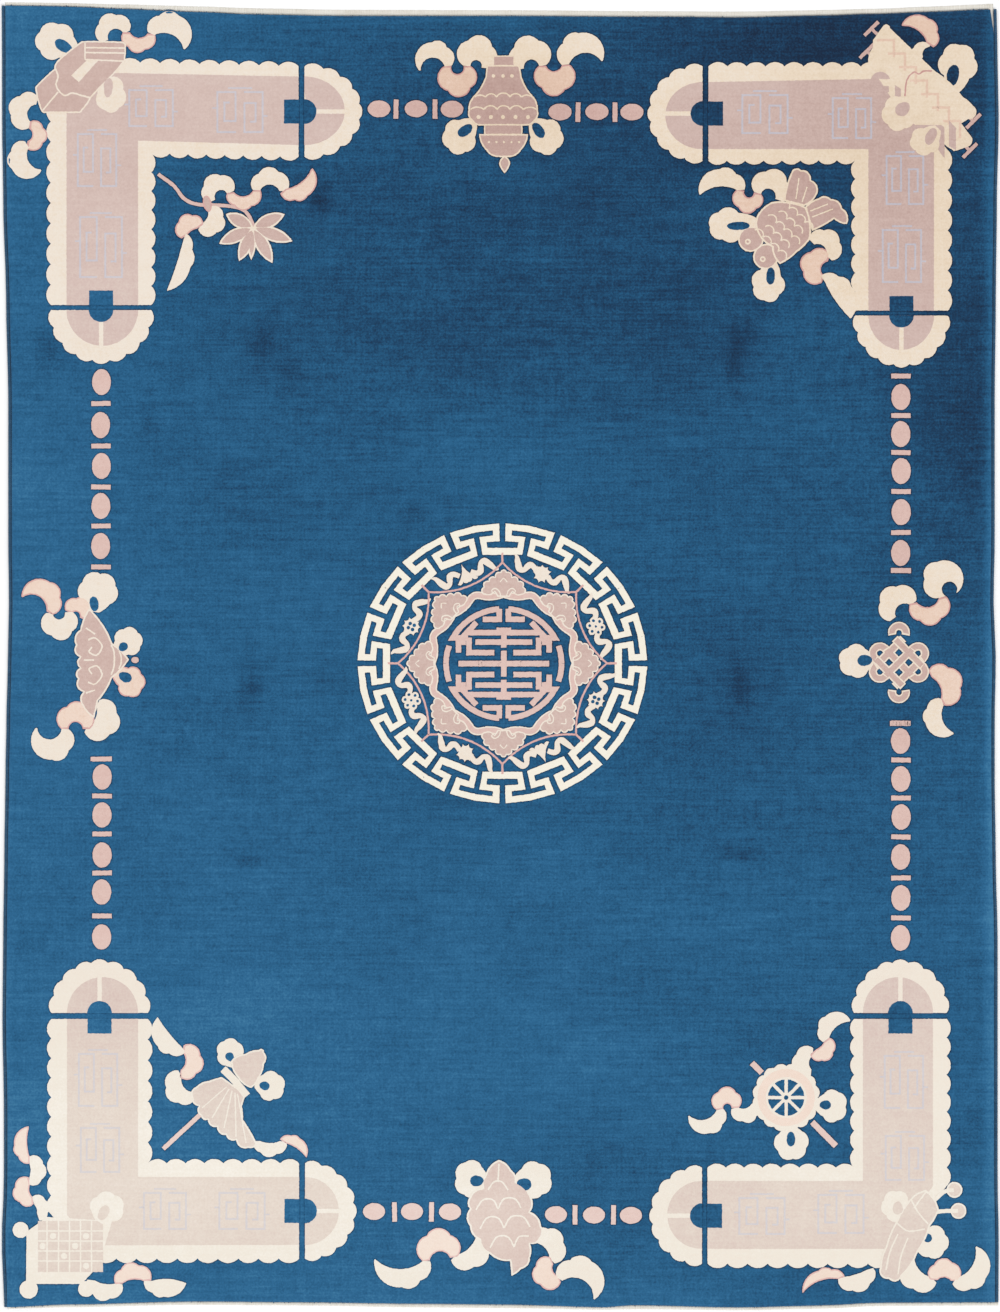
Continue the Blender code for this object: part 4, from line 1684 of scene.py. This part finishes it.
class Shader:
    """Short words for making nodes."""

    def __init__(self, name):
        self.material = bpy.data.materials.new(name)
        self.material.use_nodes = True
        self.tree = self.material.node_tree
        self.principled = self.tree.nodes["Principled BSDF"]
        self.place = self.node("ShaderNodeTexCoord").outputs["Object"]

    def node(self, kind, **settings):
        made = self.tree.nodes.new(kind)
        for key, value in settings.items():
            setattr(made, key, value)
        return made

    def link(self, source, target):
        self.tree.links.new(source, target)

    def stretched(self, scale):
        mapping = self.node("ShaderNodeMapping")
        mapping.inputs["Scale"].default_value = scale
        self.link(self.place, mapping.inputs["Vector"])
        return mapping.outputs["Vector"]

    def noise(self, scale, detail=2.0, roughness=0.5, vector=None):
        made = self.node("ShaderNodeTexNoise")
        made.inputs["Scale"].default_value = scale
        made.inputs["Detail"].default_value = detail
        made.inputs["Roughness"].default_value = roughness
        self.link(vector or self.place, made.inputs["Vector"])
        return made.outputs["Fac"]

    def math(self, operation, a, b, clamp=False):
        made = self.node("ShaderNodeMath", operation=operation, use_clamp=clamp)
        for socket, value in zip(made.inputs, (a, b)):
            if isinstance(value, (int, float)):
                socket.default_value = value
            else:
                self.link(value, socket)
        return made.outputs[0]

    def added(self, parts):
        """The sum of (source, weight, middle) parts, each source counted from its middle value."""
        total = None
        for source, weight, middle in parts:
            part = self.math("MULTIPLY", self.math("SUBTRACT", source, middle), weight)
            total = part if total is None else self.math("ADD", total, part)
        return total

    def attribute(self, name):
        made = self.node("ShaderNodeAttribute", attribute_name=name)
        return made.outputs["Fac"]

    def ramp(self, factor, stops):
        made = self.node("ShaderNodeValToRGB")
        elements = made.color_ramp.elements
        while len(elements) < len(stops):
            elements.new(0.5)
        for element, (place, colour) in zip(elements, stops):
            element.position = place
            element.color = (*colour, 1.0)
        self.link(factor, made.inputs["Fac"])
        return made.outputs["Color"]

    def bump(self, height, distance, strength, under=None):
        made = self.node("ShaderNodeBump")
        made.inputs["Distance"].default_value = distance
        made.inputs["Strength"].default_value = strength
        self.link(height, made.inputs["Height"])
        if under is not None:
            self.link(under, made.inputs["Normal"])
        return made.outputs["Normal"]


def seen_as(colour, level=LIGHT_LEVEL):
    return tuple(min(1.0, value / level) for value in linear(colour))


# How strongly each noise shows in a yarn. Columns: slow dye changes, streaks, warp lines, clouds, mottle
NOISE_WEIGHTS = {"blue": (0.34, 0.52, 0.20, 0.36, 0.80), "white": (0.2, 0.15, 0.1, 0.15, 0.4)}
PALE_NOISE = (0.25, 0.16, 0.08, 0.20, 0.42)


def pile_material(name, yarn):
    """Cut wool pile: slow dye changes, streaks along the rows of knots, a fine mottle, and a nap as bump."""
    shader = Shader(name)
    slow = shader.noise(1.6, 3.0, 0.55, shader.stretched((1.0, 2.2, 1.0)))
    streaks = shader.noise(1.0, 3.0, 0.6, shader.stretched((5.0, 120.0, 1.0)))
    warp = shader.noise(1.0, 2.0, 0.6, shader.stretched((140.0, 6.0, 1.0)))
    cloudy = shader.noise(34.0, 3.0, 0.6)
    mottle = shader.noise(170.0, 3.0, 0.65)
    knots = shader.noise(330.0, 2.0, 0.6)
    slow_w, streak_w, warp_w, cloud_w, mottle_w = NOISE_WEIGHTS.get(yarn, PALE_NOISE)
    # Of the two attributes, the first adds painted light and shade across the carpet, and the second darkens
    # with painted shade round cut-down figures, at the foot of the sides and on the tufts.
    change = shader.added((
        (slow, slow_w, 0.5), (streaks, streak_w, 0.5), (warp, warp_w, 0.5), (cloudy, cloud_w, 0.5),
        (mottle, mottle_w, 0.5), (shader.attribute("tone"), 0.5, 0.0),
        (shader.attribute("painted_shade"), -0.40, 0.0),
    ))
    level = shader.math("ADD", change, 0.5, clamp=True)
    colour = shader.ramp(level, [(place, seen_as(value)) for place, value in YARN_RAMPS[yarn]])
    shader.link(colour, shader.principled.inputs["Base Color"])
    shader.principled.inputs["Roughness"].default_value = 0.93
    shader.principled.inputs["Specular IOR Level"].default_value = 0.25
    shader.principled.inputs["Sheen Weight"].default_value = 0.08
    shader.principled.inputs["Sheen Roughness"].default_value = 0.55
    nap = shader.bump(knots, 0.9 * MM, 0.45, shader.bump(mottle, 1.2 * MM, 0.35))
    shader.link(nap, shader.principled.inputs["Normal"])
    return shader.material


def cotton_material():
    """Undyed cotton in plain weave, with a little dirt and painted shade on the lower warps."""
    shader = Shader("web_cotton")
    warps = shader.noise(1.0, 2.0, 0.6, shader.stretched((420.0, 30.0, 1.0)))
    wefts = shader.noise(1.0, 2.0, 0.6, shader.stretched((30.0, 600.0, 1.0)))
    dirt = shader.noise(9.0, 3.0, 0.6)
    level = shader.math("ADD", shader.added((
        # The attribute darkens the lower warps with painted shade.
        (warps, 0.7, 0.5), (wefts, 0.4, 0.5), (dirt, 0.5, 0.5), (shader.attribute("tone"), -0.16, 0.0),
    )), 0.5, clamp=True)
    stops = ((0.0, (186, 180, 166)), (0.35, (226, 221, 210)), (0.6, (240, 237, 228)), (1.0, (250, 249, 244)))
    colour = shader.ramp(level, [(place, seen_as(value)) for place, value in stops])
    shader.link(colour, shader.principled.inputs["Base Color"])
    shader.principled.inputs["Roughness"].default_value = 0.95
    shader.principled.inputs["Specular IOR Level"].default_value = 0.2
    weave = shader.bump(wefts, 0.5 * MM, 0.5, shader.bump(warps, 0.5 * MM, 0.5))
    shader.link(weave, shader.principled.inputs["Normal"])
    return shader.material


def build_carpet():
    draw_design()
    cloths = build_patches()
    ground_material = pile_material("wool_indigo", "blue")
    ground = make_ground(ground_material)
    pieces = [ground]
    for yarn, cloth in cloths.items():
        if yarn in ("painted_shade", "blue"):
            material = ground_material
        else:
            material = pile_material("wool_" + yarn, yarn)
        pieces.append(cloth.make("pile_" + yarn, material))
    webs = Cloth()
    make_web(webs, "top")
    make_web(webs, "bottom")
    pieces.append(webs.make("web_ends", cotton_material()))
    tufts = Cloth()
    make_tufts(tufts)
    pieces.append(tufts.make("edge_tufts", ground_material))
    return ground, pieces


def build_cords():
    material = pile_material("wool_cord", "cord")
    cords = []
    for name, node, inward in (
        ("left_overcast", "left_edge_cord", 1), ("right_overcast", "right_edge_cord", -1),
    ):
        cloth = Cloth()
        make_overcast(cloth, node, inward)
        cord = cloth.make(name, material)
        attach(cord, "root")
        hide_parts(node)
        cords.append(cord)
    return cords


FLOOR_HALF = 12.0


def make_floor():
    mesh = bpy.data.meshes.new("floor")
    corners = [(x * FLOOR_HALF, y * FLOOR_HALF, 0) for x, y in ((-1, -1), (1, -1), (1, 1), (-1, 1))]
    mesh.from_pydata(corners, [], [(0, 1, 2, 3)])
    floor = bpy.data.objects.new("floor", mesh)
    bpy.context.scene.collection.objects.link(floor)
    shader = Shader("pale_floor")
    shader.principled.inputs["Base Color"].default_value = (0.93, 0.93, 0.93, 1)
    shader.principled.inputs["Roughness"].default_value = 1.0
    shader.principled.inputs["Specular IOR Level"].default_value = 0.0
    mesh.materials.append(shader.material)


def sun(name, azimuth, elevation, strength, angle):
    """A soft sun. Its azimuth and elevation say where it stands, and angle how wide it is, in degrees."""
    data = bpy.data.lights.new(name, "SUN")
    data.energy = strength
    data.angle = math.radians(angle)
    lamp = bpy.data.objects.new(name, data)
    bpy.context.scene.collection.objects.link(lamp)
    lamp.rotation_euler = (math.radians(90 - elevation), 0, math.radians(azimuth))


def make_light():
    world = bpy.data.worlds.new("studio")
    bpy.context.scene.world = world
    world.use_nodes = True
    background = world.node_tree.nodes["Background"]
    background.inputs["Color"].default_value = (1, 1, 1, 1)
    background.inputs["Strength"].default_value = 0.78
    sun("key_light", 35, 52, 1.0, 25)
    sun("fill_light", -145, 60, 0.35, 60)
    bpy.context.scene.view_settings.view_transform = "Standard"


CAMERA_HEIGHT = 12.0
SENSOR = 24.0


def make_camera():
    data = bpy.data.cameras.new("camera")
    data.sensor_fit = "VERTICAL"
    data.sensor_height = SENSOR
    data.lens = SENSOR * CAMERA_HEIGHT / (PHOTO_SQUARES_DOWN * SQUARE)
    data.clip_end = 100
    camera = bpy.data.objects.new("camera", data)
    bpy.context.scene.collection.objects.link(camera)
    camera.location = (
        (PHOTO_SQUARES_ACROSS / 2 - CHART_MIDDLE_X) * SQUARE,
        (CHART_MIDDLE_Y - PHOTO_SQUARES_DOWN / 2) * SQUARE,
        HIGH.z + CAMERA_HEIGHT,
    )
    bpy.context.scene.camera = camera


def main():
    ground, pieces = build_carpet()
    for piece in pieces:
        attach(piece, "root")
    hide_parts("rug_body")
    cords = build_cords()
    make_floor()
    make_light()
    make_camera()


main()
